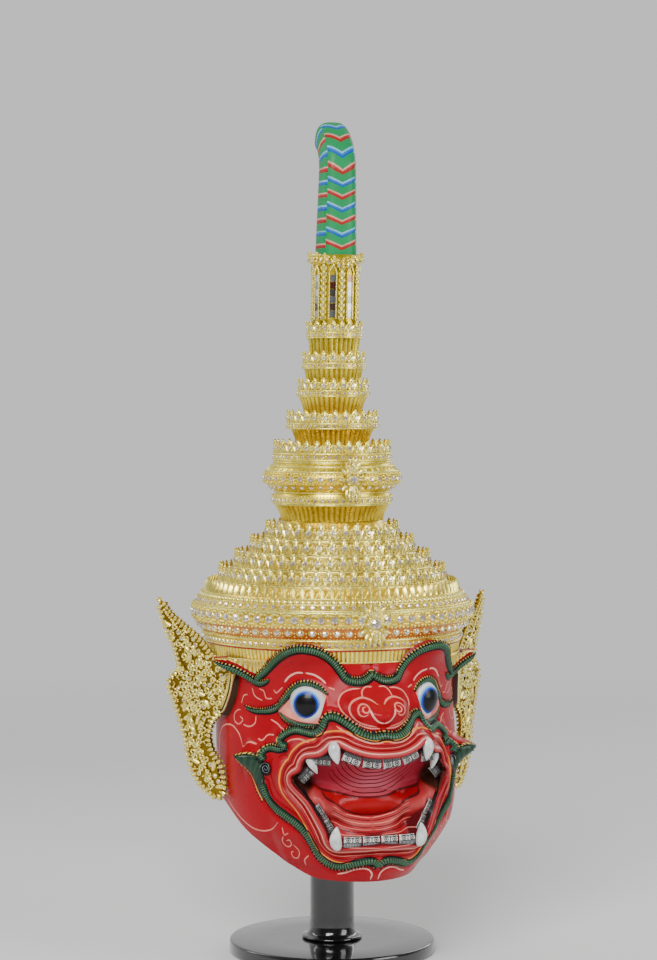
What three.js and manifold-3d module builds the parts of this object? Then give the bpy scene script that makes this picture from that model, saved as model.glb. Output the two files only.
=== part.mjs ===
// A Thai theatre mask of a demon: a papier-mache helmet with a tiered gilded crown, on its turned stand.
// Millimetres, +Z up. The face looks along -Y. The origin is the centre of the stand's underside.
import * as THREE from 'three';
import { mergeVertices } from 'three/addons/utils/BufferGeometryUtils.js';
import Module from 'manifold-3d';

const wasm = await Module();
wasm.setup();

// Gap between two pieces that touch.
const clearance = 0.35;

// How far along a full swelling each fang starts: it is narrower at its root than in its middle.
const fangNeck = 0.1;

const stand = {
  baseRadius: 95,
  baseThickness: 12,
  baseEdge: 2,
  footRadius: 26,
  footHeight: 3,
  postRadius: 20.5,
  flareHeight: 9,
  postHeight: 328,
  padRadius: 46,
  padDepth: 26,
};

// Heights on the head and crown are above the ledge that the crown sits on.
const head = {
  forward: 10,
  skullRadius: 100,
  skullTop: 23,
  domeRise: 68,
  wall: 5,
  rimBack: -130,
  chinBottom: -191,
  chinHalfWidth: 48,
  jawReach: 205,
};

// Places on the face are (across, height): across is measured round a drum of this radius.
const drumRadius = 120;

// The carved skin's radius by height, as [height, radius]: at the middle, half way round and at the side.
const skin = {
  front: [[-197, 108], [-182, 122], [-162, 128], [-147, 138], [-112, 138], [-72, 146], [-62, 146],
    [-42, 134], [-22, 118], [0, 108], [23, 108]],
  cheek: [[-197, 84], [-167, 98], [-147, 110], [-117, 114], [-87, 114], [-62, 109], [-37, 106],
    [-7, 110], [23, 111]],
  side: [[-197, 88], [-157, 99], [-127, 106], [-77, 109.5], [-25, 108], [23, 107]],
};

const eye = { across: 64, height: -37, radius: 19, centreRadius: 95.5 };

// Rounded swellings and hollows on the skin, mirrored to both sides.
const swellings = [
  { across: 0, height: -34, spreadAcross: 20, spreadUp: 13, rise: 14 },
  { across: 68, height: 12, spreadAcross: 34, spreadUp: 16, rise: 6 },
  { across: eye.across, height: eye.height, spreadAcross: 22, spreadUp: 20, rise: -5 },
];

// The flame that stands out behind each mouth corner, and the raised muzzle between the two.
const mouthFlame = { from: 92, tip: 119, to: 127, height: -85, spreadUp: 9, rise: 17 };
const muzzle = { across: [88, 104], bottom: [-186, -170], top: [-62, -50], rise: 4 };

const mouth = { floorAboveSkull: 3, lipRadius: 128, lipRoll: 5.5, lipLift: 2 };
const band = { roll: 3.2, lift: 0.6, aboveEdge: 5 };

// Right halves of the face's lines, from the middle outwards.
const hairline = [[0, -8], [16, -13], [30, -9], [36, -1], [44, 7], [55, 13], [68, 15.5], [82, 14], [95, 8],
  [103, 1], [110, -9], [118, -16], [130, -11], [142, -4], [156, -1]];
const mouthLine = [[0, -75], [16, -74], [28, -72], [38, -64], [46, -69], [52, -75], [63, -76], [67, -84],
  [67, -91], [77, -97], [77, -104], [64, -113], [56, -123], [49, -137], [44, -149], [38, -158], [20, -157],
  [0, -156]];
const muzzleLine = [[0, -57], [12, -57], [30, -47], [40, -42], [48, -48], [53, -56], [78, -56], [88, -65],
  [100, -75], [108, -78], [119, -84], [113, -96], [105, -112], [96, -127], [80, -139], [68, -149],
  [58, -163], [50, -173], [36, -177], [14, -173], [0, -176]];

// Each row of teeth is one curved block with a groove between neighbours: rows hold [radius, height].
const teeth = {
  count: 8,
  pitch: 8.3,
  groove: 1.6,
  length: 12,
  rows: [[139, -79], [135, -151]],
};

const tongue = { halfWidth: 42, halfHeight: 20, rise: 12, height: -133 };

// Each fang: which point of the mouth's line it is rooted in, and its reach as (across, height, outward).
const fangs = {
  upper_inner: { root: 3, reach: [-4, -19, 3], radius: 4.6 },
  upper_outer: { root: 6, reach: [-7, -17, 2], radius: 4.2 },
  lower: { root: 15, reach: [-1, 22, 4], radius: 4.8 },
};

// The gilded crown's brim, as [beyond the brim's foot, height]: it follows the skull's size.
const brimRows = [[0, 0], [2, 13], [4.3, 14], [4.3, 19.3], [7.5, 24], [14, 35], [15.1, 40.4], [11.5, 47.8],
  [7, 52], [6, 58.5], [-1.5, 59.5]];
const crown = {
  brimWidth: 15.5,
  wall: 9,
  hookRow: { width: -4, height: 70, leaf: 7 },
  tiers: 4,
  tierFoot: { width: -9.5, height: 61.5 },
  tierInset: 13,
  tierRise: 12.5,
  shoulder: { inset: 0.7, rise: 10.3 },
  tip: { inset: 6, rise: 22, leaf: 8 },
  topRadius: 47.4,
  roof: 9,
};

// The spire stands on the crown: [radius, height above its foot, leaf height], with leaves cut into its rim.
const spireRows = [[47, 0], [53.4, 14.5], [55.2, 16.5], [55.2, 21.1], [52.5, 27.5], [60, 32.1], [65.3, 38.5],
  [63.5, 44.1], [53.4, 53.3], [55, 55.5], [55, 61.5], [49.5, 74, 9], [44, 63.5], [33, 67.5], [37.7, 83],
  [42.8, 84], [42.8, 88], [39, 102, 8], [33.5, 93.5], [27, 96.5], [31.3, 112.5], [33.4, 113.5], [33.4, 118],
  [29, 131, 7], [25.6, 125.5], [25.6, 137.5], [29.4, 139], [29.4, 143], [26.5, 156.5, 7], [22.8, 150.5],
  [24, 165.5], [25.8, 167], [25.8, 171], [24.2, 184, 7], [21.6, 178.5], [22.4, 234.5]];
const column = { from: 177.5, to: 235.5, squareness: 0.07 };
const collar = { wall: 4, foot: 238.5, height: 7, leaf: 5, socketDepth: 5 };

// The hand-made spire stands a little askew: sideways travel per height, from this height above its foot.
const lean = { slope: 0.021, from: 68.5 };

const finial = {
  foot: 19,
  bend: 17,
  end: 16,
  straight: 77.5,
  bendRadius: 36,
  bendAngle: 1.2,
  squareness: 0.05,
};

// The flame-shaped ear ornament, as (outwards, height) in its own plane, from its tip down the outer edge.
const earOutline = [[71.7, 47], [63.2, 24], [54.7, 9], [50.5, -5], [48.4, -13], [60.5, -26], [55.8, -39],
  [49.4, -55], [43, -73], [38.8, -93], [30.3, -111], [15.4, -123.4], [6.9, -125], [3.8, -116], [7, -100],
  [16.5, -87], [20.7, -73], [16.5, -57], [0, -44], [-9, -40], [-9, -11], [5.9, -5], [15.4, -1], [29, 13],
  [44, 23], [62.2, 35.5]];
const ear = { thickness: 6.5, hingeAcross: 108, hingeForward: 28, sweep: 48 };

// The upright plaques in the middle of the brim's widest ring and of the spire's bulge.
const plaque = { halfWidth: [13, 9.5], halfHeight: [20, 21], proud: 2.8, depth: 16, ringRow: 6 };

// How finely the round surfaces are cut into flat ones.
const facets = {
  faceColumns: 30,
  napeColumns: 8,
  faceRings: 17,
  domeRings: 3,
  hollowColumns: 20,
  hollowRings: 10,
  lineSteps: 38,
  rollSides: 4,
  eye: 12,
  fangSides: 6,
  fangRings: 5,
  crown: 36,
  crownInside: 20,
  spire: 24,
  finialBend: 9,
  finialStraight: 3,
  finialSides: 12,
  post: 18,
  base: 36,
};

const toRadians = THREE.MathUtils.degToRad;
const smooth = (value, from, to) => THREE.MathUtils.smoothstep(value, from, to);
const mouthFloor = head.skullRadius + mouth.floorAboveSkull;
const seatHeight = stand.baseThickness + stand.postHeight + 2 * clearance + head.wall - head.domeRise;

// A closed three.js geometry as a solid that can be cut and joined.
function solid(geometry) {
  const plain = geometry.index ? geometry.toNonIndexed() : geometry.clone();
  for (const name of Object.keys(plain.attributes)) {
    if (name !== 'position') plain.deleteAttribute(name);
  }
  const merged = mergeVertices(plain, 1e-3);
  const make = (triVerts) => new wasm.Manifold(new wasm.Mesh({
    numProp: 3,
    vertProperties: new Float32Array(merged.attributes.position.array),
    triVerts,
  }));
  const faces = Uint32Array.from(merged.index.array);
  const made = make(faces);
  return made.volume() > 0 ? made : make(faces.reverse());
}

function geometryOf(body) {
  const mesh = body.getMesh();
  const positions = new Float32Array(mesh.numVert * 3);
  for (let i = 0; i < mesh.numVert; i++) {
    for (let axis = 0; axis < 3; axis++) {
      positions[3 * i + axis] = mesh.vertProperties[mesh.numProp * i + axis];
    }
  }
  const geometry = new THREE.BufferGeometry();
  geometry.setAttribute('position', new THREE.BufferAttribute(positions, 3));
  geometry.setIndex(new THREE.BufferAttribute(new Uint32Array(mesh.triVerts), 1));
  geometry.computeVertexNormals();
  return geometry;
}

// A curve through knots of [position, value], read at any position.
function throughKnots(knots) {
  const slope = knots.map((knot, i) => {
    const before = knots[Math.max(i - 1, 0)];
    const after = knots[Math.min(i + 1, knots.length - 1)];
    return (after[1] - before[1]) / (after[0] - before[0]);
  });
  return (position) => {
    let i = 0;
    while (i < knots.length - 2 && position > knots[i + 1][0]) i++;
    const span = knots[i + 1][0] - knots[i][0];
    const t = THREE.MathUtils.clamp((position - knots[i][0]) / span, 0, 1);
    const t2 = t * t;
    const t3 = t2 * t;
    return (2 * t3 - 3 * t2 + 1) * knots[i][1] + (t3 - 2 * t2 + t) * span * slope[i]
      + (3 * t2 - 2 * t3) * knots[i + 1][1] + (t3 - t2) * span * slope[i + 1];
  };
}

const frontRadius = throughKnots(skin.front);
const cheekRadius = throughKnots(skin.cheek);
const sideRadius = throughKnots(skin.side);
const hairlineHeight = throughKnots(hairline);

const bump = (x, width) => Math.exp(-((x / width) ** 2));

// Radius of the carved face at an angle from its middle.
function faceRadius(angle, height) {
  const turned = Math.abs(THREE.MathUtils.radToDeg(angle));
  const across = Math.abs(angle) * drumRadius;
  const toCheek = smooth(turned, 0, 45);
  const toSide = smooth(turned, 45, 90);
  const front = THREE.MathUtils.lerp(frontRadius(height), cheekRadius(height), toCheek);
  let radius = THREE.MathUtils.lerp(front, sideRadius(height), toSide);
  for (const { across: middle, height: level, spreadAcross, spreadUp, rise } of swellings) {
    radius += rise * bump(across - middle, spreadAcross) * bump(height - level, spreadUp);
  }
  const { from, tip, to, rise, spreadUp } = mouthFlame;
  radius += rise * smooth(across, from, tip) * (1 - smooth(across, tip, to))
    * bump(height - mouthFlame.height, spreadUp);
  return radius + muzzle.rise * (1 - smooth(across, ...muzzle.across)) * smooth(height, ...muzzle.bottom)
    * (1 - smooth(height, ...muzzle.top));
}

// The face's upper edge: over the brows it climbs in front of the crown.
const edgeHeight = (angle) => {
  const across = Math.min(Math.abs(angle) * drumRadius, hairline.at(-1)[0]);
  return Math.max(0, hairlineHeight(across) + band.aboveEdge);
};

// The helmet's lower edge drops from the nape to the chin.
function rimHeight(angle) {
  const across = Math.abs(angle) * drumRadius;
  const share = smooth(across, head.chinHalfWidth, head.jawReach);
  return THREE.MathUtils.lerp(head.chinBottom, head.rimBack, share);
}

// A closed skin of rings: place(angle, ring) gives each corner, and the first and last rings are points.
function ringSkin(angles, rings, place) {
  const geometry = new THREE.SphereGeometry(1, angles.length, rings);
  const corners = geometry.getAttribute('position');
  for (let ring = 0; ring <= rings; ring++) {
    for (let column = 0; column <= angles.length; column++) {
      const spot = place(angles[column % angles.length], ring);
      corners.setXYZ(ring * (angles.length + 1) + column, ...spot);
    }
  }
  return geometry;
}

const polar = (radius, angle, height) => [
  radius * Math.sin(angle), -head.forward - radius * Math.cos(angle), height,
];

// Columns stand close together over the face and apart over the nape.
function headAngles() {
  const { faceColumns, napeColumns } = facets;
  const faceHalf = toRadians(82);
  const angles = [];
  for (let i = 0; i < faceColumns; i++) angles.push(-faceHalf + 2 * faceHalf * i / faceColumns);
  for (let i = 0; i < napeColumns; i++) angles.push(faceHalf + 2 * (Math.PI - faceHalf) * i / napeColumns);
  return angles;
}

const even = (count) => Array.from({ length: count }, (_, i) => 2 * Math.PI * i / count);

function outerHead(grow) {
  const { faceRings, domeRings } = facets;
  return solid(ringSkin(headAngles(), faceRings + domeRings + 3, (angle, ring) => {
    const skull = head.skullRadius + grow;
    if (ring <= domeRings) {
      const turn = Math.PI / 2 * ring / (domeRings + 0.4);
      const rise = head.domeRise - head.skullTop + grow;
      return polar(skull * Math.sin(turn), angle, head.skullTop + rise * Math.cos(turn));
    }
    if (ring === domeRings + 1) return polar(skull, angle, edgeHeight(angle) + grow);
    const share = (ring - domeRings - 2) / faceRings;
    if (share > 1) return polar(0, angle, head.rimBack - 20 - grow);
    const height = THREE.MathUtils.lerp(edgeHeight(angle) + grow, rimHeight(angle) - grow, share);
    return polar(faceRadius(angle, height) + grow, angle, height);
  }));
}

// The lowest radius of the skin near a place.
function lowestNear(angle, height) {
  let least = Infinity;
  for (const turn of [-0.2, -0.1, 0, 0.1, 0.2]) {
    for (const step of [-12, 0, 12]) {
      const around = Math.atan2(Math.sin(angle + turn), Math.cos(angle + turn));
      least = Math.min(least, faceRadius(around, height + step));
    }
  }
  return least;
}

// The room for the wearer's head: a dome, then the carved skin's lowest places less the wall.
function hollow(inset) {
  const { hollowColumns, hollowRings, domeRings } = facets;
  const wall = head.wall + inset;
  const below = head.chinBottom - 30;
  return solid(ringSkin(even(hollowColumns), hollowRings, (angle, ring) => {
    if (ring === hollowRings) return polar(0, angle, below);
    if (ring <= domeRings) {
      const turn = Math.PI / 2 * ring / domeRings;
      const rise = head.domeRise - wall - head.skullTop;
      return polar((head.skullRadius - wall) * Math.sin(turn), angle, head.skullTop + rise * Math.cos(turn));
    }
    const height = THREE.MathUtils.lerp(0, below, (ring - domeRings - 1) / (hollowRings - domeRings - 2));
    const outer = Math.min(head.skullRadius, lowestNear(angle, height));
    return polar(outer - wall, angle, height);
  }));
}

// A line on the face, mirrored to both sides, as points on the skin.
function lineOnFace(half, lift) {
  const other = half.slice(1).map(([across, height]) => [-across, height]).reverse();
  return [...other, ...half].map(([across, height]) => {
    const angle = across / drumRadius;
    return new THREE.Vector3(...polar(faceRadius(angle, height) + lift, angle, height));
  });
}

// A line that is closed in a ring, from its right half.
function closedLine(half, lift) {
  return lineOnFace(half, lift).slice(0, -1);
}

function tubeAlong(points, radius) {
  const path = new THREE.CatmullRomCurve3(points, false, 'centripetal');
  const section = new THREE.Shape(even(facets.rollSides).map((turn) => (
    new THREE.Vector2(radius * Math.cos(turn), radius * Math.sin(turn)))));
  const options = { steps: facets.lineSteps, extrudePath: path, bevelEnabled: false };
  return solid(new THREE.ExtrudeGeometry(section, options));
}

// A ring-shaped roll that follows a closed line: rows of corners round the line, joined end to end.
function rollAlong(points, radius) {
  const path = new THREE.CatmullRomCurve3(points, true, 'centripetal');
  const { rollSides, lineSteps } = facets;
  const geometry = new THREE.TorusGeometry(1, 0.5, rollSides, lineSteps);
  const corners = geometry.getAttribute('position');
  const axis = new THREE.Vector3(0, -head.forward, 0);
  for (let side = 0; side <= rollSides; side++) {
    for (let step = 0; step <= lineSteps; step++) {
      const at = path.getPointAt((step % lineSteps) / lineSteps);
      const along = path.getTangentAt((step % lineSteps) / lineSteps);
      const out = at.clone().sub(axis).setZ(0).normalize();
      const aside = along.clone().cross(out).normalize();
      const turn = 2 * Math.PI * side / rollSides;
      at.addScaledVector(out, radius * Math.sin(turn)).addScaledVector(aside, radius * Math.cos(turn));
      corners.setXYZ(side * (lineSteps + 1) + step, at.x, at.y, at.z);
    }
  }
  return solid(geometry);
}

// What is carved out for the mouth, down to a round floor.
function mouthCut(inset) {
  const half = mouthLine.map(([across, height]) => (
    new THREE.Vector2(mouth.lipRadius * Math.sin(across / drumRadius), height)));
  const otherHalf = half.slice(1, -1).map((point) => new THREE.Vector2(-point.x, point.y)).reverse();
  const middle = new THREE.Vector2(0, (half[0].y + half.at(-1).y) / 2);
  const outline = [...half, ...otherHalf].map((point) => (
    point.addScaledVector(point.clone().sub(middle).normalize(), -inset)));
  const depth = 2 * drumRadius;
  const prism = new THREE.ExtrudeGeometry(new THREE.Shape(outline), { depth, bevelEnabled: false });
  prism.rotateX(Math.PI / 2);
  const floorRadius = mouthFloor + inset;
  const floor = new THREE.CylinderGeometry(floorRadius, floorRadius, depth, facets.crown);
  floor.rotateX(Math.PI / 2).translate(0, -head.forward, middle.y);
  return solid(prism).subtract(solid(floor));
}

function eyeball(side, grow) {
  const ball = new THREE.SphereGeometry(eye.radius + grow, facets.eye, facets.eye / 2 + 2);
  return solid(ball.translate(...polar(eye.centreRadius, side * eye.across / drumRadius, eye.height)));
}

function toothRow([frontRadius, height], grow) {
  const radius = frontRadius + grow;
  const step = teeth.pitch / radius;
  const half = teeth.count / 2;
  const outline = [];
  const corner = (reach, angle) => outline.push(new THREE.Vector2(
    reach * Math.sin(angle), -head.forward - reach * Math.cos(angle)));
  for (let i = -half; i < half; i++) {
    corner(radius - teeth.groove, i * step);
    corner(radius, (i + 0.2) * step);
    corner(radius, (i + 0.8) * step);
  }
  corner(radius - teeth.groove, half * step);
  for (const i of [half, 0, -half]) corner(mouthFloor - 3, i * step);
  const options = { depth: teeth.length, bevelEnabled: false };
  const block = new THREE.ExtrudeGeometry(new THREE.Shape(outline), options);
  return solid(block.translate(0, 0, height - teeth.length / 2));
}

function tongueLump(grow) {
  const lump = new THREE.SphereGeometry(1, facets.eye, facets.eye / 2);
  lump.scale(tongue.halfWidth, 2 * tongue.rise, tongue.halfHeight);
  return solid(lump.translate(...polar(mouthFloor - tongue.rise + grow, 0, tongue.height)));
}

// The whole head before it is hollowed. A grown one cuts its neighbours clear.
function headSolid(grow) {
  const lips = rollAlong(closedLine(mouthLine, mouth.lipLift), mouth.lipRoll + grow);
  return wasm.Manifold.union([
    outerHead(grow).add(lips).subtract(mouthCut(grow)),
    tubeAlong(lineOnFace(hairline, band.lift), band.roll + grow),
    rollAlong(closedLine(muzzleLine, band.lift), band.roll + grow),
    ...[-1, 1].map((side) => eyeball(side, grow)),
    ...teeth.rows.map((row) => toothRow(row, grow)),
    tongueLump(grow),
  ]);
}

function fangSolid(side, { root, reach, radius }) {
  const [across, height] = mouthLine[root];
  const out = faceRadius(across / drumRadius, height) + mouth.lipLift;
  const [sideways, upward, outward] = reach;
  const from = new THREE.Vector3(...polar(out, side * across / drumRadius, height));
  const tipAngle = side * (across + sideways) / drumRadius;
  const to = new THREE.Vector3(...polar(out + outward, tipAngle, height + upward));
  const length = from.distanceTo(to);
  const horn = ringSkin(even(facets.fangSides), facets.fangRings, (angle, ring) => {
    const share = Math.max(ring - 1, 0) / (facets.fangRings - 1);
    const girth = ring === 0 ? 0 : radius * Math.sin(Math.PI * (fangNeck + (1 - fangNeck) * share));
    return [girth * Math.cos(angle), length * share, -girth * Math.sin(angle)];
  });
  const pointing = to.sub(from).normalize();
  const turn = new THREE.Quaternion().setFromUnitVectors(new THREE.Vector3(0, 1, 0), pointing);
  return solid(horn.applyQuaternion(turn).translate(from.x, from.y, from.z));
}

// A profile pushed outwards by a small amount, for cutting its neighbours clear of it.
function grown(rows, by) {
  return rows.map(([radius, height, leaf], i) => {
    const before = rows[Math.max(i - 1, 0)];
    const after = rows[Math.min(i + 1, rows.length - 1)];
    const along = new THREE.Vector2(after[0] - before[0], after[1] - before[1]).normalize();
    return [radius + by * Math.max(along.y, 0.5), height - by * along.x, leaf];
  });
}

// A turned piece whose leaf rows are cut into points all round. place moves each corner off the plain form.
function turned(rows, sides, place = (x, y, height) => [x, y, height]) {
  const geometry = new THREE.LatheGeometry([
    new THREE.Vector2(0, rows[0][1]),
    ...rows.map(([radius, height]) => new THREE.Vector2(radius, height)),
    new THREE.Vector2(0, rows.at(-1)[1]),
  ], sides);
  geometry.rotateX(Math.PI / 2);
  const corners = geometry.getAttribute('position');
  const points = rows.length + 2;
  for (let i = 0; i < corners.count; i++) {
    const leaf = rows[i % points - 1]?.[2] ?? 0;
    const drop = Math.floor(i / points) % 2 ? leaf : 0;
    corners.setXYZ(i, ...place(corners.getX(i), corners.getY(i), corners.getZ(i) - drop));
  }
  return solid(geometry);
}

const brimFoot = head.skullRadius + crown.brimWidth;
const tierFoot = (tier) => ({
  radius: brimFoot + crown.tierFoot.width - tier * crown.tierInset,
  height: crown.tierFoot.height + tier * crown.tierRise,
});
const crownTop = tierFoot(crown.tiers - 1).height + crown.tip.rise;

function crownRows() {
  const rows = brimRows.map(([width, height]) => [brimFoot + width, height]);
  rows.push([brimFoot + crown.hookRow.width, crown.hookRow.height, crown.hookRow.leaf]);
  for (let tier = 0; tier < crown.tiers; tier++) {
    const { radius, height } = tierFoot(tier);
    rows.push([radius, height]);
    rows.push([radius - crown.shoulder.inset, height + crown.shoulder.rise]);
    rows.push([radius - crown.tip.inset, height + crown.tip.rise, crown.tip.leaf]);
  }
  rows.push([tierFoot(crown.tiers).radius, tierFoot(crown.tiers).height]);
  rows.push([crown.topRadius, crownTop]);
  return rows;
}

function crownSolid(grow) {
  const rows = grown(crownRows(), grow);
  rows[0] = [rows[0][0], clearance - grow];
  rows[rows.length - 1] = [rows.at(-1)[0], crownTop + grow];
  return turned(rows, facets.crown);
}

// The crown's inside: a seat that fits the skull, then a room whose wall follows the tiers.
function crownHollow() {
  const seatRadius = head.skullRadius + clearance;
  const seat = turned([[seatRadius, -5], [seatRadius, head.skullTop + 8]], facets.crown);
  const lowerRoom = brimFoot + brimRows[4][0] - crown.wall;
  const first = tierFoot(0);
  const last = tierFoot(crown.tiers - 1);
  const room = turned([[seatRadius + 4, head.skullTop - 8], [lowerRoom, head.skullTop], [lowerRoom, 50],
    [first.radius - crown.wall, first.height], [last.radius - crown.wall, last.height],
    [crown.topRadius - 2 * crown.wall, crownTop - crown.roof]], facets.crownInside);
  return seat.translate([0, -head.forward, 0]).add(room);
}

// Heights on the spire are above its foot, which stands on the crown.
const spireFoot = crownTop + clearance;
const leaned = (height) => lean.slope * Math.max(0, height - lean.from);

function ontoSpire(x, y, height) {
  const onColumn = height > column.from && height < column.to;
  const share = onColumn ? 1 - column.squareness * Math.cos(4 * Math.atan2(y, x)) : 1;
  return [x * share + leaned(height), y * share, spireFoot + height];
}

// A squarish tail needs a little more room than its girth.
const socketRadius = finial.foot * (1 + finial.squareness) + clearance;

function spireSolid() {
  const outside = socketRadius + collar.wall;
  const top = collar.foot + collar.height;
  const rows = [...spireRows, [outside, collar.foot], [outside, top, collar.leaf],
    [socketRadius, top - collar.socketDepth]];
  return turned(rows, facets.spire, ontoSpire);
}

// The painted tail on top: a squarish horn that curls back at its end.
function finialSolid() {
  const { finialBend, finialStraight, finialSides } = facets;
  const foot = collar.foot + collar.height - collar.socketDepth + clearance;
  const rings = finialBend + finialStraight + 2;
  return solid(ringSkin(even(finialSides), rings, (angle, ring) => {
    const step = Math.min(Math.max(ring - 1, 0), rings - 2);
    const rising = Math.min(step / finialStraight, 1);
    const bending = Math.max(0, step - finialStraight) / finialBend;
    const turn = finial.bendAngle * bending;
    const girth = THREE.MathUtils.lerp(finial.foot, finial.bend, rising)
      + (finial.end - finial.bend) * bending;
    const closedEnd = ring === 0 || ring === rings;
    const radius = closedEnd ? 0 : girth * (1 - finial.squareness * Math.cos(4 * angle));
    const outward = radius * Math.cos(angle);
    const back = finial.bendRadius * (1 - Math.cos(turn)) - outward * Math.cos(turn);
    const up = foot + finial.straight * rising + (finial.bendRadius + outward) * Math.sin(turn);
    return [radius * Math.sin(angle) + leaned(up), back, spireFoot + up];
  }));
}

function earSolid(side) {
  const shape = new THREE.Shape(earOutline.map(([out, height]) => new THREE.Vector2(out, height)));
  const plate = new THREE.ExtrudeGeometry(shape, { depth: ear.thickness, bevelEnabled: false });
  plate.translate(0, 0, -ear.thickness / 2).rotateX(Math.PI / 2).rotateZ(toRadians(ear.sweep));
  plate.translate(ear.hingeAcross, -ear.hingeForward, 0);
  if (side < 0) plate.scale(-1, 1, 1);
  return solid(plate);
}

// A plaque stands a little proud of the ring behind it.
function plaqueSolid(which, ringRadius, height) {
  const halfWidth = plaque.halfWidth[which];
  const halfHeight = plaque.halfHeight[which];
  const shape = new THREE.Shape(even(8).map((angle) => (
    new THREE.Vector2(halfWidth * Math.sin(angle), halfHeight * Math.cos(angle)))));
  const plate = new THREE.ExtrudeGeometry(shape, { depth: plaque.depth, bevelEnabled: false });
  return solid(plate.rotateX(Math.PI / 2).translate(0, plaque.depth - ringRadius - plaque.proud, height));
}

function basePlate() {
  const { baseRadius, baseThickness, baseEdge } = stand;
  return turned([[baseRadius - baseEdge, 0], [baseRadius, baseEdge], [baseRadius, baseThickness - baseEdge],
    [baseRadius - baseEdge, baseThickness]], facets.base);
}

// The post: a lipped foot, a plain shaft and a rounded pad that the helmet hangs on.
function post() {
  const { footRadius, footHeight, postRadius, flareHeight, padRadius, padDepth, postHeight } = stand;
  const bottom = stand.baseThickness + clearance;
  const foot = bottom + footHeight;
  const top = bottom + postHeight;
  const rows = [
    [footRadius, bottom],
    [footRadius + 2, bottom + footHeight / 2],
    [footRadius, foot],
    [postRadius + 1.5, foot + flareHeight / 3],
    [postRadius, foot + flareHeight],
    [postRadius, top - 2 * padDepth],
    [padRadius * 0.8, top - padDepth],
    [padRadius, top - padDepth * 0.75],
    [padRadius * 0.95, top - padDepth / 2],
  ];
  for (const turn of [0.5, 1, 1.35]) {
    rows.push([padRadius * 0.95 * Math.cos(turn), top - padDepth / 2 * (1 - Math.sin(turn))]);
  }
  return turned(rows, facets.post);
}

const paints = {
  stand_black: { color: 0x0b0b0c, roughness: 0.15, metalness: 0 },
  face_red: { color: 0xb5161b, roughness: 0.4, metalness: 0 },
  gilt: { color: 0xd9a93a, roughness: 0.3, metalness: 1 },
  finial_green: { color: 0x1f8a4c, roughness: 0.45, metalness: 0 },
  tusk_white: { color: 0xe6e2d8, roughness: 0.25, metalness: 0 },
};
const materials = Object.fromEntries(Object.entries(paints).map(([name, values]) => (
  [name, new THREE.MeshStandardMaterial(values)])));

const part = new THREE.Group();
const mask = new THREE.Group();
mask.position.z = seatHeight;
part.add(mask);

function addPiece(group, name, body, paint) {
  const mesh = new THREE.Mesh(geometryOf(body), materials[paint]);
  mesh.name = name;
  group.add(mesh);
}

const headCutter = headSolid(clearance);
const crownCutter = crownSolid(clearance);

addPiece(part, 'stand_base', basePlate(), 'stand_black');
const skull = outerHead(0).subtract(hollow(clearance)).translate([0, 0, seatHeight]);
addPiece(part, 'stand_post', post().subtract(skull), 'stand_black');
addPiece(mask, 'mask_head', headSolid(0).subtract(hollow(0)), 'face_red');
addPiece(mask, 'crown_tiers', crownSolid(0).subtract(crownHollow()).subtract(headCutter), 'gilt');
addPiece(mask, 'crown_spire', spireSolid(), 'gilt');
addPiece(mask, 'finial', finialSolid(), 'finial_green');

for (const [name, side] of [['left', -1], ['right', 1]]) {
  addPiece(mask, `ear_ornament_${name}`, earSolid(side).subtract(headCutter).subtract(crownCutter), 'gilt');
  for (const [kind, fang] of Object.entries(fangs)) {
    addPiece(mask, `fang_${kind}_${name}`, fangSolid(side, fang).subtract(headCutter), 'tusk_white');
  }
}

const [brimRing, brimRingHeight] = crownRows()[plaque.ringRow];
const [bulgeRing, bulgeHeight] = spireRows[plaque.ringRow];
const spireCutter = turned(grown(spireRows, clearance), facets.spire, ontoSpire);
const brimPlaque = plaqueSolid(0, brimRing, brimRingHeight - 4.4);
const bulgePlaque = plaqueSolid(1, bulgeRing, spireFoot + bulgeHeight);
addPiece(mask, 'crown_plaque', brimPlaque.subtract(crownCutter).subtract(headCutter), 'gilt');
addPiece(mask, 'spire_plaque', bulgePlaque.subtract(spireCutter), 'gilt');

export default part;
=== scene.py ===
# A Thai theatre mask of a demon on its stand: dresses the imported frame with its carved, painted and gilded finish.
import math

import bpy
import numpy as np
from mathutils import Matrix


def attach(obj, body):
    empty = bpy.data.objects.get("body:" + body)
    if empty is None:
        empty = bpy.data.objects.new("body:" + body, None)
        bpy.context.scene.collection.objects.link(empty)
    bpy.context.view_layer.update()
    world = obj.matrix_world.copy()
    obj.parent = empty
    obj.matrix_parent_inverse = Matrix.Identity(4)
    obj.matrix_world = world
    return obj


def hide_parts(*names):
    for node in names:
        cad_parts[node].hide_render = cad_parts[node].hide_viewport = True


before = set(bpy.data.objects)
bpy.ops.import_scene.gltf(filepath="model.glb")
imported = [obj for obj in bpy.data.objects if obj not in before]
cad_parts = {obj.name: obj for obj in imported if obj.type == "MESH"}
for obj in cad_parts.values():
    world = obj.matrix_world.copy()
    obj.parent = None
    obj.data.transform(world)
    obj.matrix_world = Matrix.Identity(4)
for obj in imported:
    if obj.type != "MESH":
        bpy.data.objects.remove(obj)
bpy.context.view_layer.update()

mm = 0.001
generator = np.random.default_rng(11)
upwards = np.array([0, 0, 1.0])

# Everything above the stand is measured from the ledge that the crown sits on.
places = {
    "seat": 277.7,  # height of that ledge, mm
    "faceAxis": -10.0,  # the face is carved round an upright line this far in front of the crown's middle
    "drum": 120.0,  # "across" on the face is measured round a drum of this radius
}


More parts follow.
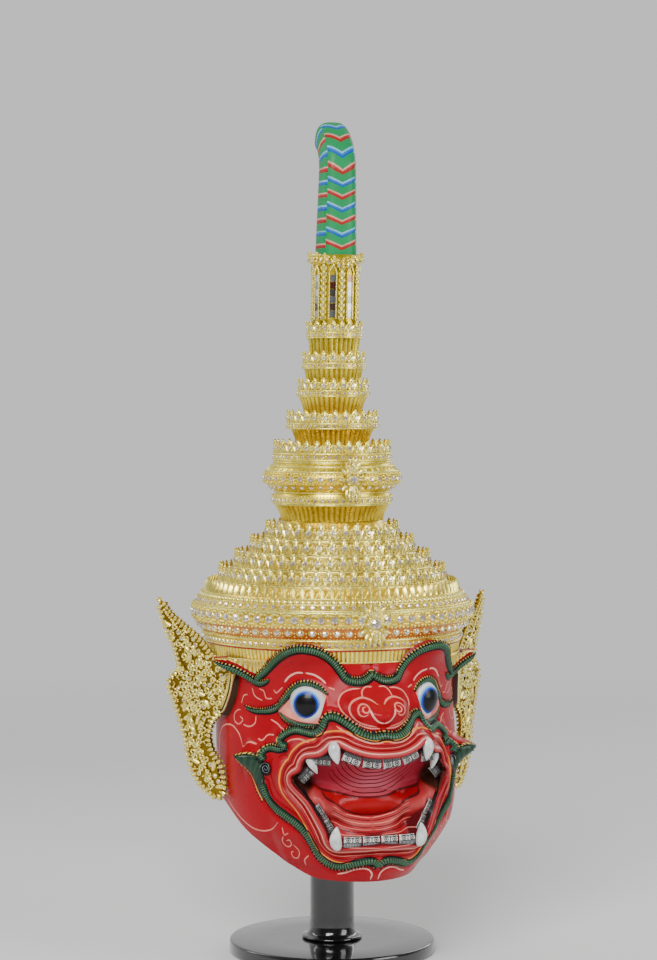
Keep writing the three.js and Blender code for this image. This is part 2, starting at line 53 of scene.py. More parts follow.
# Camera, light and floor.
studio = {
    "azimuth": -17.0, "distance": 2.3, "height": 0.518, "pitchDown": 2.06, "lens": 93.75, "sensor": 36.0,
    "axisShift": -0.00365,
    "surroundGrey": 0.74, "frontGrey": 0.08, "surroundFade": (-0.35, 0.45),
    "floorGrey": 0.8, "floorRoughness": 0.85, "floorHalf": 2.6, "floorFade": (0.5, 2.4),
    # lamps as (place, aim, size, watts)
    "lamps": {
        "keyLamp": ((-1.1, -1.9, 1.75), (0, 0, 0.4), (1.4, 1.2), 80),
        "fillLamp": ((1.7, -1.6, 1.0), (0, 0, 0.42), (1.1, 1.5), 30),
        "rimLampLeft": ((-1.5, 1.0, 1.3), (0, 0, 0.45), (0.4, 1.2), 6),
        "rimLampRight": ((1.4, 1.1, 1.1), (0, 0, 0.4), (0.4, 1.2), 6),
    },
}


def linked(name, data):
    item = bpy.data.objects.new(name, data)
    bpy.context.scene.collection.objects.link(item)
    return item


def makeCamera():
    data = bpy.data.cameras.new("photoCamera")
    data.lens = studio["lens"]
    data.sensor_width = studio["sensor"]
    data.shift_x = studio["axisShift"]
    camera = linked("photoCamera", data)
    turn = math.radians(studio["azimuth"])
    camera.location = (studio["distance"] * math.sin(turn), -studio["distance"] * math.cos(turn), studio["height"])
    camera.rotation_euler = (math.radians(90 - studio["pitchDown"]), 0, turn)
    bpy.context.scene.camera = camera


def makeLamp(name, place, aim, size, watts):
    data = bpy.data.lights.new(name, "AREA")
    data.shape = "RECTANGLE"
    data.size, data.size_y = size
    data.energy = watts
    lamp = linked(name, data)
    lamp.location = place
    x, y, z = np.array(aim, float) - np.array(place, float)
    lamp.rotation_euler = (math.atan2(math.hypot(x, y), -z), 0, math.atan2(-x, y))


def fadeNode(tree, value, span, ends):
    # Goes smoothly from one number to the other while the value crosses the span.
    fade = tree.nodes.new("ShaderNodeMapRange")
    fade.interpolation_type = "SMOOTHSTEP"
    for socket, number in zip(("From Min", "From Max", "To Min", "To Max"), (*span, *ends)):
        fade.inputs[socket].default_value = number
    tree.links.new(value, fade.inputs["Value"])
    return fade.outputs["Result"]


def makeSurround():
    # Pale behind the mask, darker in front, so that gilt and lacquer have something to mirror.
    world = bpy.data.worlds.new("studioSurround")
    world.use_nodes = True
    tree = world.node_tree
    direction = tree.nodes.new("ShaderNodeTexCoord")
    parts = tree.nodes.new("ShaderNodeSeparateXYZ")
    tree.links.new(direction.outputs["Generated"], parts.inputs["Vector"])
    greys = (studio["frontGrey"], studio["surroundGrey"])
    grey = fadeNode(tree, parts.outputs["Y"], studio["surroundFade"], greys)
    tree.links.new(grey, tree.nodes["Background"].inputs["Color"])
    bpy.context.scene.world = world


def makeFloor():
    half, grey = studio["floorHalf"], studio["floorGrey"]
    mesh = bpy.data.meshes.new("studioFloor")
    mesh.from_pydata([(-half, -half, 0), (half, -half, 0), (half, half, 0), (-half, half, 0)], [], [(0, 1, 2, 3)])
    floor = linked("studioFloor", mesh)
    paper = bpy.data.materials.new("palePaper")
    paper.use_nodes = True
    tree = paper.node_tree
    shader = tree.nodes["Principled BSDF"]
    shader.inputs["Base Color"].default_value = (grey, grey, grey, 1)
    shader.inputs["Roughness"].default_value = studio["floorRoughness"]
    # the paper fades out into the pale surround
    where = tree.nodes.new("ShaderNodeTexCoord")
    reach = tree.nodes.new("ShaderNodeVectorMath")
    reach.operation = "LENGTH"
    tree.links.new(where.outputs["Object"], reach.inputs[0])
    tree.links.new(fadeNode(tree, reach.outputs["Value"], studio["floorFade"], (1.0, 0.0)), shader.inputs["Alpha"])
    mesh.materials.append(paper)


def makeStudio():
    makeCamera()
    for name, lamp in studio["lamps"].items():
        makeLamp(name, *lamp)
    makeSurround()
    makeFloor()


makeStudio()
print("studio ready")


# Meshes from arrays of points.
def polar(radius, across, height):
    # A place round the face's upright line, in metres.
    angle = across / places["drum"]
    x = radius * np.sin(angle)
    y = places["faceAxis"] - radius * np.cos(angle)
    z = places["seat"] + height + 0 * x
    return np.stack([x + 0 * z, y + 0 * z, z], -1) * mm


def gridFaces(rows, columns, closed=False):
    # Quads of a sheet of points stored row after row.
    r = np.arange(rows - 1)[:, None]
    c = np.arange(columns if closed else columns - 1)[None, :]
    right = (c + 1) % columns
    quads = [r * columns + c, r * columns + right, (r + 1) * columns + right, (r + 1) * columns + c]
    return np.stack(quads, -1).reshape(-1, 4)


class Heap:
    # Gathers many small meshes, each with a tone and a tint, for one object.
    def __init__(self):
        self.points, self.faces, self.tones, self.tints, self.count = [], {}, [], [], 0

    def add(self, points, faces, tone=0.0, tint=(0.5, 0.5, 0.5)):
        points = np.asarray(points, float).reshape(-1, 3)
        for corners in faces if isinstance(faces, list) else [faces]:
            corners = np.asarray(corners, int)
            self.faces.setdefault(corners.shape[1], []).append(corners + self.count)
        self.points.append(points)
        tone = np.asarray(tone, float)
        self.tones.append(np.broadcast_to(tone.reshape(-1) if tone.ndim else tone, (len(points),)))
        self.tints.append(np.broadcast_to(np.asarray(tint, float), (len(points), 3)))
        self.count += len(points)


def makePiece(name, heap, material, replaced=(), smooth=True, sharpAt=None):
    points = np.concatenate(heap.points)
    mesh = bpy.data.meshes.new(name)
    blocks = [np.concatenate(group) for group in heap.faces.values()]
    corners = np.concatenate([block.ravel() for block in blocks])
    sizes = np.concatenate([np.full(len(block), block.shape[1]) for block in blocks])
    mesh.vertices.add(len(points))
    mesh.vertices.foreach_set("co", points.astype(np.float32).ravel())
    mesh.loops.add(len(corners))
    mesh.loops.foreach_set("vertex_index", corners.astype(np.int32))
    mesh.polygons.add(len(sizes))
    mesh.polygons.foreach_set("loop_start", (np.cumsum(sizes) - sizes).astype(np.int32))
    mesh.update(calc_edges=True)
    mesh.validate()
    tone = mesh.attributes.new("tone", "FLOAT", "POINT")
    tone.data.foreach_set("value", np.concatenate(heap.tones).astype(np.float32))
    tint = np.concatenate(heap.tints)
    layer = mesh.attributes.new("tint", "FLOAT_COLOR", "POINT")
    layer.data.foreach_set("color", np.column_stack([tint, np.ones(len(tint))]).astype(np.float32).ravel())
    mesh.polygons.foreach_set("use_smooth", np.full(len(sizes), smooth))
    if sharpAt:
        mesh.set_sharp_from_angle(angle=math.radians(sharpAt))
    mesh.materials.append(material)
    piece = linked(name, mesh)
    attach(piece, "root")
    if replaced:
        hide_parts(*replaced)
    print(name, len(points), "points", int((sizes - 2).sum()), "triangles")


def smoothPath(knots, step, closed=False):
    # A curve through knots, cut at even steps. Extra columns, such as a width, go along with it.
    p = np.array(knots, float)
    if closed:
        p = np.vstack([p[-1:], p, p[:2]])
    else:
        p = np.vstack([2 * p[0] - p[1], p, 2 * p[-1] - p[-2]])
    cuts = 14
    t = np.linspace(0, 1, cuts, endpoint=False)[:, None]
    runs = []
    for i in range(1, len(p) - 2):
        a, b, c, d = p[i - 1], p[i], p[i + 1], p[i + 2]
        runs.append(0.5 * (2 * b + (c - a) * t + (2 * a - 5 * b + 4 * c - d) * t ** 2
                           + (3 * b - a - 3 * c + d) * t ** 3))
    runs.append(p[-2:-1])
    path = np.vstack(runs)
    length = np.r_[0, np.cumsum(np.hypot(*np.diff(path[:, :2], axis=0).T))]
    at = np.linspace(0, length[-1], max(3, int(round(length[-1] / step)) + 1))
    return np.column_stack([np.interp(at, length, path[:, k]) for k in range(path.shape[1])])


def joined(half):
    # Both halves of a line that crosses the middle of the face.
    half = np.array(half, float)
    return np.vstack([(half * [-1, 1])[::-1], half[1:]])


def bothSides(knots):
    # A line of the right half of the face, and the same line on the left.
    return [list(map(tuple, knots)), [(-knot[0], *knot[1:]) for knot in knots]]


def courseOf(path):
    # The direction of a line at each of its points, and the direction across it.
    along = np.gradient(path[:, :2], axis=0)
    along /= np.hypot(*along.T)[:, None] + 1e-9
    return along, np.stack([-along[:, 1], along[:, 0]], -1)


def ribbon(path, normal, shares, width):
    # Places beside a line, at shares of a width.
    return [path[:, k:k + 1] + normal[:, k:k + 1] * shares * width for k in (0, 1)]


def between(first, second, shares):
    # Places between two lines of as many points.
    return [first[:, k:k + 1] + (second[:, k:k + 1] - first[:, k:k + 1]) * shares for k in (0, 1)]


def resampled(path, count):
    share, old = np.linspace(0, 1, count), np.linspace(0, 1, len(path))
    return np.column_stack([np.interp(share, old, path[:, k]) for k in (0, 1)])


def facing(angle):
    # Unit vectors rightwards and outwards at a place turned round an upright line.
    c, s = np.cos(angle), np.sin(angle)
    return np.stack([c, s, 0 * c], -1), np.stack([s, -c, 0 * c], -1)


def smoothstep(value, low, high):
    t = np.clip((value - low) / (high - low), 0, 1)
    return t * t * (3 - 2 * t)


def bump(value, width):
    return np.exp(-(value / width) ** 2)


def throughKnots(knots, position):
    # The same curve through knots as the solid's skin uses.
    knots = np.array(knots, float)
    at, value = knots[:, 0], knots[:, 1]
    last = len(at) - 1
    before, after = np.maximum(np.arange(last + 1) - 1, 0), np.minimum(np.arange(last + 1) + 1, last)
    slope = (value[after] - value[before]) / (at[after] - at[before])
    i = np.clip(np.searchsorted(at, position) - 1, 0, last - 1)
    span = at[i + 1] - at[i]
    t = np.clip((position - at[i]) / span, 0, 1)
    return ((2 * t ** 3 - 3 * t ** 2 + 1) * value[i] + (t ** 3 - 2 * t ** 2 + t) * span * slope[i]
            + (3 * t ** 2 - 2 * t ** 3) * value[i + 1] + (t ** 3 - t ** 2) * span * slope[i + 1])


def distanceTo(path, u, h):
    # How far places on the face are from a line, in mm.
    batch = 20000
    a, b = path[:-1, :2], path[1:, :2]
    along = b - a
    square = np.maximum((along ** 2).sum(1), 1e-9)
    spots = np.stack([np.ravel(u), np.ravel(h)], -1)
    least = []
    for start in range(0, len(spots), batch):
        block = spots[start:start + batch, None, :]
        share = np.clip(((block - a) * along).sum(-1) / square, 0, 1)
        gap = block - (a + share[..., None] * along)
        least.append(np.sqrt((gap ** 2).sum(-1).min(1)))
    return np.concatenate(least).reshape(np.shape(u))


def insideLine(path, u, h):
    # Which places lie inside a closed line.
    x, y = np.ravel(u)[:, None], np.ravel(h)[:, None]
    x0, y0 = path[:, 0], path[:, 1]
    x1, y1 = np.roll(x0, -1), np.roll(y0, -1)
    crossing = (y0 > y) != (y1 > y)
    reach = x0 + (y - y0) * (x1 - x0) / np.where(y1 == y0, 1e-9, y1 - y0)
    return ((crossing & (x < reach)).sum(1) % 2 == 1).reshape(np.shape(u))


class Finish:
    # A procedural material, built node by node.
    def __init__(self, name):
        self.material = bpy.data.materials.new(name)
        self.material.use_nodes = True
        self.nodes = self.material.node_tree.nodes
        self.links = self.material.node_tree.links
        self.shader = self.nodes["Principled BSDF"]

    def set(self, **values):
        for socket, value in values.items():
            self.shader.inputs[socket.replace("_", " ")].default_value = value
        return self

    def add(self, kind, settings=None, **inputs):
        node = self.nodes.new(kind)
        for key, value in (settings or {}).items():
            setattr(node, key, value)
        for key, value in inputs.items():
            # i0, i3 and so on are sockets by number
            numbered = key[0] == "i" and key[1:].isdigit()
            self.join(value, node.inputs[int(key[1:]) if numbered else key])
        return node

    def join(self, value, socket):
        if isinstance(value, bpy.types.NodeSocket):
            self.links.new(value, socket)
        else:
            socket.default_value = value

    def attribute(self, name):
        node = self.add("ShaderNodeAttribute", {"attribute_name": name})
        return node.outputs["Color"] if name == "tint" else node.outputs["Fac"]

    def noise(self, scale, detail=3.0):
        where = self.add("ShaderNodeTexCoord").outputs["Object"]
        node = self.add("ShaderNodeTexNoise", Vector=where, Scale=scale, Detail=detail, Roughness=0.55)
        return node.outputs["Fac"]

    def ramp(self, value, stops, interpolation="LINEAR"):
        node = self.add("ShaderNodeValToRGB", i0=value)
        node.color_ramp.interpolation = interpolation
        while len(node.color_ramp.elements) < len(stops):
            node.color_ramp.elements.new(0.5)
        for element, (place, colour) in zip(node.color_ramp.elements, stops):
            element.position = place
            element.color = (*colour, 1) if isinstance(colour, tuple) else (colour, colour, colour, 1)
        return node.outputs["Color"]

    def mix(self, share, first, second, blend="MIX"):
        node = self.add("ShaderNodeMix", {"data_type": "RGBA", "blend_type": blend, "clamp_factor": True})
        self.join(share, node.inputs[0])
        for value, socket in ((first, node.inputs[6]), (second, node.inputs[7])):
            self.join(value if isinstance(value, bpy.types.NodeSocket) else (*value, 1), socket)
        return node.outputs[2]

    def colour(self, socket):
        self.links.new(socket, self.shader.inputs["Base Color"])

    def mottle(self, colour, scale, low, detail=3.0, end=0.7):
        # Makes a colour the base, darkened in cloudy patches.
        patches = self.ramp(self.noise(scale, detail), [(0.3, low), (end, 1.0)])
        self.colour(self.mix(1.0, colour, patches, "MULTIPLY"))

    def rough(self, scale, low, high, detail=3.0):
        # Roughness that wanders between two values.
        spread = self.add("ShaderNodeMapRange", Value=self.noise(scale, detail), i3=low, i4=high)
        self.links.new(spread.outputs["Result"], self.shader.inputs["Roughness"])

    def bump(self, scale, depth, strength, detail=3.0):
        # Fine unevenness, its depth in mm.
        node = self.add("ShaderNodeBump", Strength=strength, Distance=depth * mm, Height=self.noise(scale, detail))
        self.links.new(node.outputs["Normal"], self.shader.inputs["Normal"])


def lacquerFinish(name, low=0.2, high=0.4, wear=0.16):
    # Brushed lacquer over the painted tint: small tone changes, dulled by dust, with faint brush marks.
    finish = Finish(name).set(Coat_Weight=0.06, Coat_Roughness=0.07, Specular_IOR_Level=0.1)
    finish.mottle(finish.attribute("tint"), 38.0, 1 - wear, 4.0)
    finish.rough(90.0, low, high)
    finish.bump(420.0, 0.12, 0.35, 2.0)
    return finish.material


# stops of the gilt's tone ramp: painted shade below shadeTo, painted highlight from brightFrom
giltLook = {"shade": 0.42, "shadeTo": 0.32, "brightFrom": 0.85, "worn": (0.86, 0.78, 0.6), "wornTo": 0.55}


def giltFinish(name, deep, bright):
    # Gold leaf over moulded lacquer, worn in cloudy patches; the tone attribute gives painted shade, amber to dark,
    # in the recesses and a painted highlight on ridges and tops.
    finish = Finish(name).set(Metallic=0.84, Specular_IOR_Level=0.5)
    shade = tuple(giltLook["shade"] * part for part in deep)
    gold = finish.ramp(finish.attribute("tone"), [
        (0.0, shade), (giltLook["shadeTo"], deep), (giltLook["brightFrom"], bright)])
    finish.mottle(gold, 160.0, giltLook["worn"], 4.0, end=giltLook["wornTo"])
    finish.rough(230.0, 0.18, 0.4)
    finish.bump(520.0, 0.12, 0.4, 2.0)
    return finish.material


def stoneFinish(name):
    # Cut glass backed with foil.
    finish = Finish(name).set(Metallic=0.75, Coat_Weight=0.7, Coat_Roughness=0.04)
    finish.colour(finish.ramp(finish.noise(120.0, 2.0), [(0.35, (0.72, 0.58, 0.46)), (0.65, (1.0, 0.93, 0.82))]))
    finish.rough(300.0, 0.1, 0.24, 2.0)
    return finish.material


# The carved face.
faceForm = {
    "front": [(-197, 108), (-182, 122), (-162, 128), (-147, 138), (-112, 138), (-72, 146), (-62, 146),
              (-42, 134), (-22, 118), (0, 108), (23, 108)],
    "cheek": [(-197, 84), (-167, 98), (-147, 110), (-117, 114), (-87, 114), (-62, 109), (-37, 106), (-7, 110),
              (23, 111)],
    "side": [(-197, 88), (-157, 99), (-127, 106), (-77, 109.5), (-25, 108), (23, 107)],
    "skull": 100.0, "skullTop": 23.0, "domeRise": 68.0, "wall": 5.0,
    "rimBack": -130.0, "chinBottom": -191.0, "chinHalf": 48.0, "jawReach": 205.0,
}

# Right halves of the face's lines as (across, height), from the middle outwards.
faceLines = {
    "hair": [(0, -9), (4, -11.5), (10, -14), (17, -14.5), (25, -12.5), (31, -5.5), (38, 2.5), (47, 9.5),
             (56, 13), (66, 14.2), (76, 12), (87, 6.5), (96, 0.5), (103, -5), (109, -9.5), (114, -12.5),
             (118, -16)],
    "temple": [(103, -15), (108.5, -17.8), (117, -19), (125, -16), (133, -11), (141, -7), (149, -4.2),
               (157, -1.5)],
    "mouth": [(0, -76), (10, -75.5), (18, -73.5), (26, -70), (31, -67), (36, -64), (41, -70), (47, -75.5),
              (54, -77.5), (60, -78.5), (64, -83.5), (66, -90.5), (74, -96), (74, -103), (67, -110),
              (58, -119), (50, -132), (44, -144), (38.5, -158), (20, -157.5), (0, -156)],
    "moustache": [(0, -58), (8.5, -59), (17, -56), (24, -50.5), (30, -46.5), (35.5, -44.3), (40.5, -44),
                  (44, -46.5), (46, -51), (49, -56), (55, -58.3), (63, -57.8), (72, -57.2), (80, -59.5),
                  (86, -63.5), (89.5, -67.5), (86, -71), (80, -72)],
    "whisker": [(79, -73.8), (88, -75), (98, -74.5), (105, -76.5), (107.5, -81), (105, -86)],
    "beard": [(107, -108), (104, -115), (99.5, -121.5), (91, -127.5), (79, -134), (68, -140.5), (60.5, -148),
              (56, -157), (52.5, -165), (46, -171.5), (37, -175.5), (28, -175.5), (18, -172), (9, -170),
              (4, -170.8), (0, -174.5)],
    "leafOuter": [(126, -82), (122.8, -90), (119.5, -98), (116.5, -106), (113, -114), (108, -122)],
    "leafInner": [(126, -81.7), (117, -79.8), (107, -82.5), (106, -93), (106, -104), (102, -115)],
    "upperLid": [(43.3, -25.5), (48, -21.5), (55, -18.3), (63.5, -17), (71.5, -18.8), (79, -23.3),
                 (86, -30.5), (93, -37.5), (102, -42.3), (114, -44), (126, -44), (136, -42)],
    "lowerLid": [(95, -43.5), (87, -48), (79, -51.2), (69.5, -53), (60, -53), (51, -51.5)],
    "palate": [(0, -117), (17, -116.2), (34, -113), (49, -109), (56, -105)],
    "tongue": [(0, -133.5), (12, -132.5), (24, -128.5), (34, -123), (43, -116.5), (49, -110)],
    "gum": [(0, -141), (14, -140), (29, -134), (41, -125.5), (51, -117), (56, -112)],
}

mouthEdge = smoothPath(joined(faceLines["mouth"]), 2.0)
gumLine = smoothPath(joined(faceLines["gum"]), 3.0)
muzzleEdge = np.vstack([
    joined(faceLines["moustache"][:15]), smoothPath(joined(faceLines["beard"][::-1]), 4.0)[::-1]])

# Round swellings and hollows as (depth, across, height, spread across, spread in height).
swellings = {
    "solid": [(6, 68, 12, 34, 16), (-5, 64, -37, 22, 20)],
    "nose": [(12, 16, -36, 11, 9.5), (13, 0, -40, 9, 9), (4, 0, -22, 14, 9), (-3, 30, -34, 5, 10)],
    # forward of the crown's brim, with a furrow over the nose
    "brows": [(6, 68, 13, 30, 11), (-3, 0, -2, 7, 9)],
}
# Rolls and grooves round the mouth as (depth, distance from the mouth's edge, spread).
lipRolls = [(5.5, 0.5, 4.2), (2.6, 11.5, 3.4), (-1.2, 7.2, 1.8)]
mouthForm = {
    "floor": 103.0, "palate": 17, "gum": 7, "gumSpread": 7.5, "frontGum": 12,
    "tongue": {"height": -122, "halfWidth": 44, "halfTall": 13, "foot": 96, "rise": 16},
}


def swelling(name, u, h):
    across = np.abs(u)
    return sum(depth * bump(across - a, wide) * bump(h - b, tall) for depth, a, b, wide, tall in swellings[name])


def plainSkin(u, h):
    # The solid's own skin: blended from front to cheek to side.
    turned = np.abs(np.degrees(u / places["drum"]))
    front, cheek, side = (throughKnots(faceForm[key], h) for key in ("front", "cheek", "side"))
    radius = front + (cheek - front) * smoothstep(turned, 0, 45)
    radius = radius + (side - radius) * smoothstep(turned, 45, 90) + swelling("solid", u, h)
    across = np.abs(u)
    # a knob behind each mouth corner
    knob = smoothstep(across, 100, 125) * (1 - smoothstep(across, 126, 132))
    knob = knob * bump(h + 82, np.where(h > -82, 7, 13))
    # red flames stand out before the ears
    line = np.interp(across, *np.transpose(faceLines["temple"][2:]))
    flame = smoothstep(across, 118, 156) * (1 - smoothstep(across, 158, 166)) * smoothstep(h - line, -9, -0.5)
    # the chin stands forward of the cheeks
    chin = (1 - smoothstep(across, 88, 104)) * smoothstep(h, -186, -170) * (1 - smoothstep(h, -62, -50))
    return radius + 17 * knob + 19 * flame + 4 * chin


def mouthDepth(u, h):
    # Signed distance to the mouth's edge: below nothing inside.
    gap = distanceTo(mouthEdge, u, h)
    return np.where(insideLine(mouthEdge, u, h), -gap, gap)


def mouthFloorRadius(u, h):
    # The palate slopes in behind the upper teeth, the tongue's mound lies in a U-shaped gum.
    across, form, tongue = np.abs(u), mouthForm, mouthForm["tongue"]
    radius = form["floor"] + form["palate"] * smoothstep(h, -108, -84) * (1 - 0.4 * smoothstep(across, 30, 70))
    mound = 1 - (u / tongue["halfWidth"]) ** 2 - ((h - tongue["height"]) / tongue["halfTall"]) ** 2
    radius = np.maximum(radius, tongue["foot"] + tongue["rise"] * np.sqrt(np.maximum(mound, 0)))
    # the gum rises at the sides and towards the lower teeth
    radius = radius + 17 * smoothstep(across, 32, 52) * smoothstep(h, -104, -120)
    radius = radius + 9 * smoothstep(across, 36, 50) * bump(h + 136, 20)
    radius = radius + form["frontGum"] * smoothstep(h, -136, -154) * (1 - smoothstep(across, 44, 56))
    return radius + form["gum"] * bump(distanceTo(gumLine, u, h), form["gumSpread"])


def skinRadius(u, h):
    u, h = np.broadcast_arrays(np.asarray(u, float), np.asarray(h, float))
    across = np.abs(u)
    radius = plainSkin(u, h) + swelling("nose", u, h) + swelling("brows", u, h)
    # the lids stand round the eye
    lid = np.hypot((across - 67) / 1.25, h + 34)
    radius = radius + 2.6 * bump(lid - 18.0, 4.0)
    # a channel on each side of the moustache and beard
    radius = radius - 1.6 * bump(distanceTo(muzzleEdge, u, h) - 5.5, 2.2)
    depth = mouthDepth(u, h)
    roll = sum(rise * bump(depth - at, spread) for rise, at, spread in lipRolls)
    radius = radius + roll * (1 - smoothstep(across, 92, 104))
    floor = np.minimum(mouthFloorRadius(u, h), radius - 4)
    return radius + (floor - radius) * smoothstep(-depth, 1.0, 6.5)


def edgeHeight(u):
    # Where the skin ends under the brim: above the brow band, then along the flames.
    line = np.array(faceLines["hair"][:13] + [
        (103, -2), (112, -8.5), (122, -13), (131, -12.5), (142, -9), (152, -5), (158, -2), (166, -8)])
    across = np.minimum(np.abs(u), 170)
    return np.maximum(0, np.interp(across, *line.T) + 4.5)


def rimHeight(u):
    share = smoothstep(np.abs(u), faceForm["chinHalf"], faceForm["jawReach"])
    return faceForm["chinBottom"] + (faceForm["rimBack"] - faceForm["chinBottom"]) * share


def onFace(u, h, lift=0.0):
    return polar(skinRadius(u, h) + lift, u, h)


paints = {
    "red": (0.4, 0.003, 0.011), "deepRed": (0.2, 0.003, 0.005), "lipRed": (0.42, 0.012, 0.02),
    "pink": (0.84, 0.24, 0.18), "palePink": (0.88, 0.4, 0.33), "palate": (0.42, 0.024, 0.045),
    "palatePink": (0.72, 0.15, 0.2), "gum": (0.44, 0.016, 0.024), "tongueHighlight": (0.62, 0.05, 0.05),
    "throat": (0.38, 0.004, 0.008), "corner": (0.075, 0.024, 0.014), "black": (0.006, 0.006, 0.007),
    "orange": (0.8, 0.27, 0.03), "greyBlue": (0.3, 0.36, 0.36), "line": (0.1, 0.008, 0.01),
    "bronze": (0.045, 0.016, 0.007), "goldPaint": (0.72, 0.46, 0.09), "white": (0.78, 0.77, 0.72),
    "green": (0.018, 0.085, 0.045), "plainInside": (0.16, 0.09, 0.05),
}


def blend(base, colour, share):
    return base + (np.array(paints[colour]) - base) * share[..., None]


def faceTint(u, h):
    across = np.abs(u)
    depth = mouthDepth(u, h)
    tint = np.broadcast_to(np.array(paints["red"]), u.shape + (3,)).copy()
    lips = smoothstep(depth, 15.0, 12.5) * (1 - smoothstep(across, 92, 102))
    tint = blend(tint, "lipRed", lips)
    tint = blend(tint, "palePink", 0.2 * bump(depth - 2.6, 2.0) * (1 - smoothstep(across, 84, 96)))
    tint = blend(tint, "deepRed", 0.5 * bump(depth - 5.6, 1.5) * (1 - smoothstep(across, 88, 98)))
    inner = smoothstep(-depth, 0.5, 3.0)
    palateEdge = np.interp(across, *np.transpose(faceLines["palate"]))
    tongueEdge = np.interp(across, *np.transpose(faceLines["tongue"]))
    tint = blend(tint, "palate", inner)
    tint = blend(tint, "palatePink", inner * bump(u - 4, 24) * bump(h + 103, 13))
    tint = blend(tint, "throat", inner * smoothstep(h - palateEdge, 1.0, -1.0))
    # a painted highlight on the tongue's mound
    tint = blend(tint, "tongueHighlight", 0.15 * inner * bump(u, 20) * bump(h + 126, 5))
    tint = blend(tint, "gum", inner * smoothstep(h - tongueEdge, 1.0, -1.0))
    # a painted highlight along the lower gum's ridge
    tint = blend(tint, "palePink", 0.16 * inner * bump(distanceTo(gumLine, u, h), 3.5) * smoothstep(h, -100, -108))
    # painted shade in the mouth's deep corners
    tint = blend(tint, "corner", inner * smoothstep(across, 55, 62) * smoothstep(h, -122, -114))
    # painted shade, near black, on the mouth's inner wall above the upper teeth and round the lower ones
    edge = smoothstep(-depth, 1.0, 2.2) * (1 - smoothstep(-depth, 6.0, 9.0))
    upperAndLower = np.maximum(smoothstep(h, -84, -78), 0.8 * smoothstep(h, -116, -124))
    return blend(tint, "black", 0.95 * edge * upperAndLower)


def makeHead():
    heap = Heap()
    # fine columns over the face, wide ones round the plain back
    half = np.concatenate([np.arange(0, 128, 1.0), np.arange(128, 168, 2.5)])
    side = np.concatenate([half, np.linspace(168, math.pi * places["drum"], 40)])
    u = np.concatenate([-side[:0:-1], side[:-1]])[None, :]
    columns = u.shape[1]
    rim, edge = rimHeight(u), edgeHeight(u)
    h = rim + (edge - rim) * np.linspace(0, 1, 200)[:, None]
    grid = np.broadcast_to(u, h.shape)
    outer = onFace(grid, h)
    skull, top, wall = faceForm["skull"], faceForm["skullTop"], faceForm["wall"]
    rise = faceForm["domeRise"] - top

    def ring(radius, height):
        return polar(np.broadcast_to(radius, u.shape), u, height + 0 * u)

    # the skull's dome under the crown
    dome = [ring(skull, edge)]
    for turn in np.linspace(0, math.pi / 2, 9)[:-1]:
        dome.append(ring(skull * math.cos(turn), top + rise * math.sin(turn)))
    dome.append(ring(0.01, top + rise))
    points = np.concatenate([outer] + dome)
    plain = np.broadcast_to(np.array(paints["plainInside"]), (len(dome), columns, 3))
    tints = np.concatenate([faceTint(grid, h), plain])
    heap.add(points, gridFaces(len(points), columns, closed=True), 0.5, tints.reshape(-1, 3))
    # the inside wall, from the rim up to the dome
    inside = [outer[:1]]
    for level in np.linspace(0, 1, 12):
        height = rim + (top - rim) * level
        near = np.min([plainSkin(u + du, height + dh) for du in (-20, 0, 20) for dh in (-12, 0, 12)], 0)
        inside.append(ring(np.minimum(skull, near) - wall, height))
    for turn in np.linspace(0, math.pi / 2, 7)[1:]:
        inside.append(ring(max((skull - wall) * math.cos(turn), 0.01), top + (rise - wall) * math.sin(turn)))
    faces = gridFaces(len(inside), columns, closed=True)[:, ::-1]
    heap.add(np.concatenate(inside), faces, 0.5, paints["plainInside"])
    makePiece("paintedHead", heap, lacquerFinish("faceLacquer"), ["mask_head"])


makeHead()


# The ribbed green bands and the fringes along them.
bandForm = {
    "step": 0.42, "halfWidth": 3.3, "rise": 3.0, "lidHalfWidth": 2.7, "lidRise": 2.2, "sink": 0.8, "ribDepth": 0.6,
    "overlap": 0.6, "goldShare": 0.38, "goldLift": (0.7, 0.1), "thornReach": 3.5, "thornHalf": 0.46,
    "thornLift": (1.9, 1.9, 0.9), "thornRidge": 2.5,
}


def widthOf(path):
    # The third column of a path scales its width.
    return np.clip(path[:, 2:3], 0.05, 4)


def sweptBand(knots, halfWidth, rise, pitch=2.1, depth=0.5, step=bandForm["step"], across=9):
    # A ribbed roll along a line on the face.
    path = smoothPath([(*knot, 1.0) if len(knot) == 2 else knot for knot in knots], step)
    _, normal = courseOf(path)
    s = np.linspace(-1, 1, across)
    taper = widthOf(path)
    u, h = ribbon(path, normal, s, halfWidth * taper)
    rib = 0.5 + 0.5 * np.cos(2 * math.pi * np.arange(len(path))[:, None] * step / pitch)
    crown = np.sqrt(np.maximum(1 - s ** 2, 0))[None, :]
    ribbed = 1 - bandForm["ribDepth"] * depth * (1 - rib) ** 2
    lift = rise * np.minimum(taper, 1.0) * crown * ribbed - bandForm["sink"] * (1 - crown)
    radius = 0.5 * skinRadius(path[:, 0], path[:, 1])[:, None] + 0.5 * skinRadius(u, h) + lift
    # tone: painted shade in the rib grooves and towards the band's sides, a painted highlight on the ridges
    tone = np.broadcast_to(rib * (0.35 + 0.65 * crown), u.shape)
    return polar(radius, u, h), gridFaces(len(path), across), tone, (path, normal)


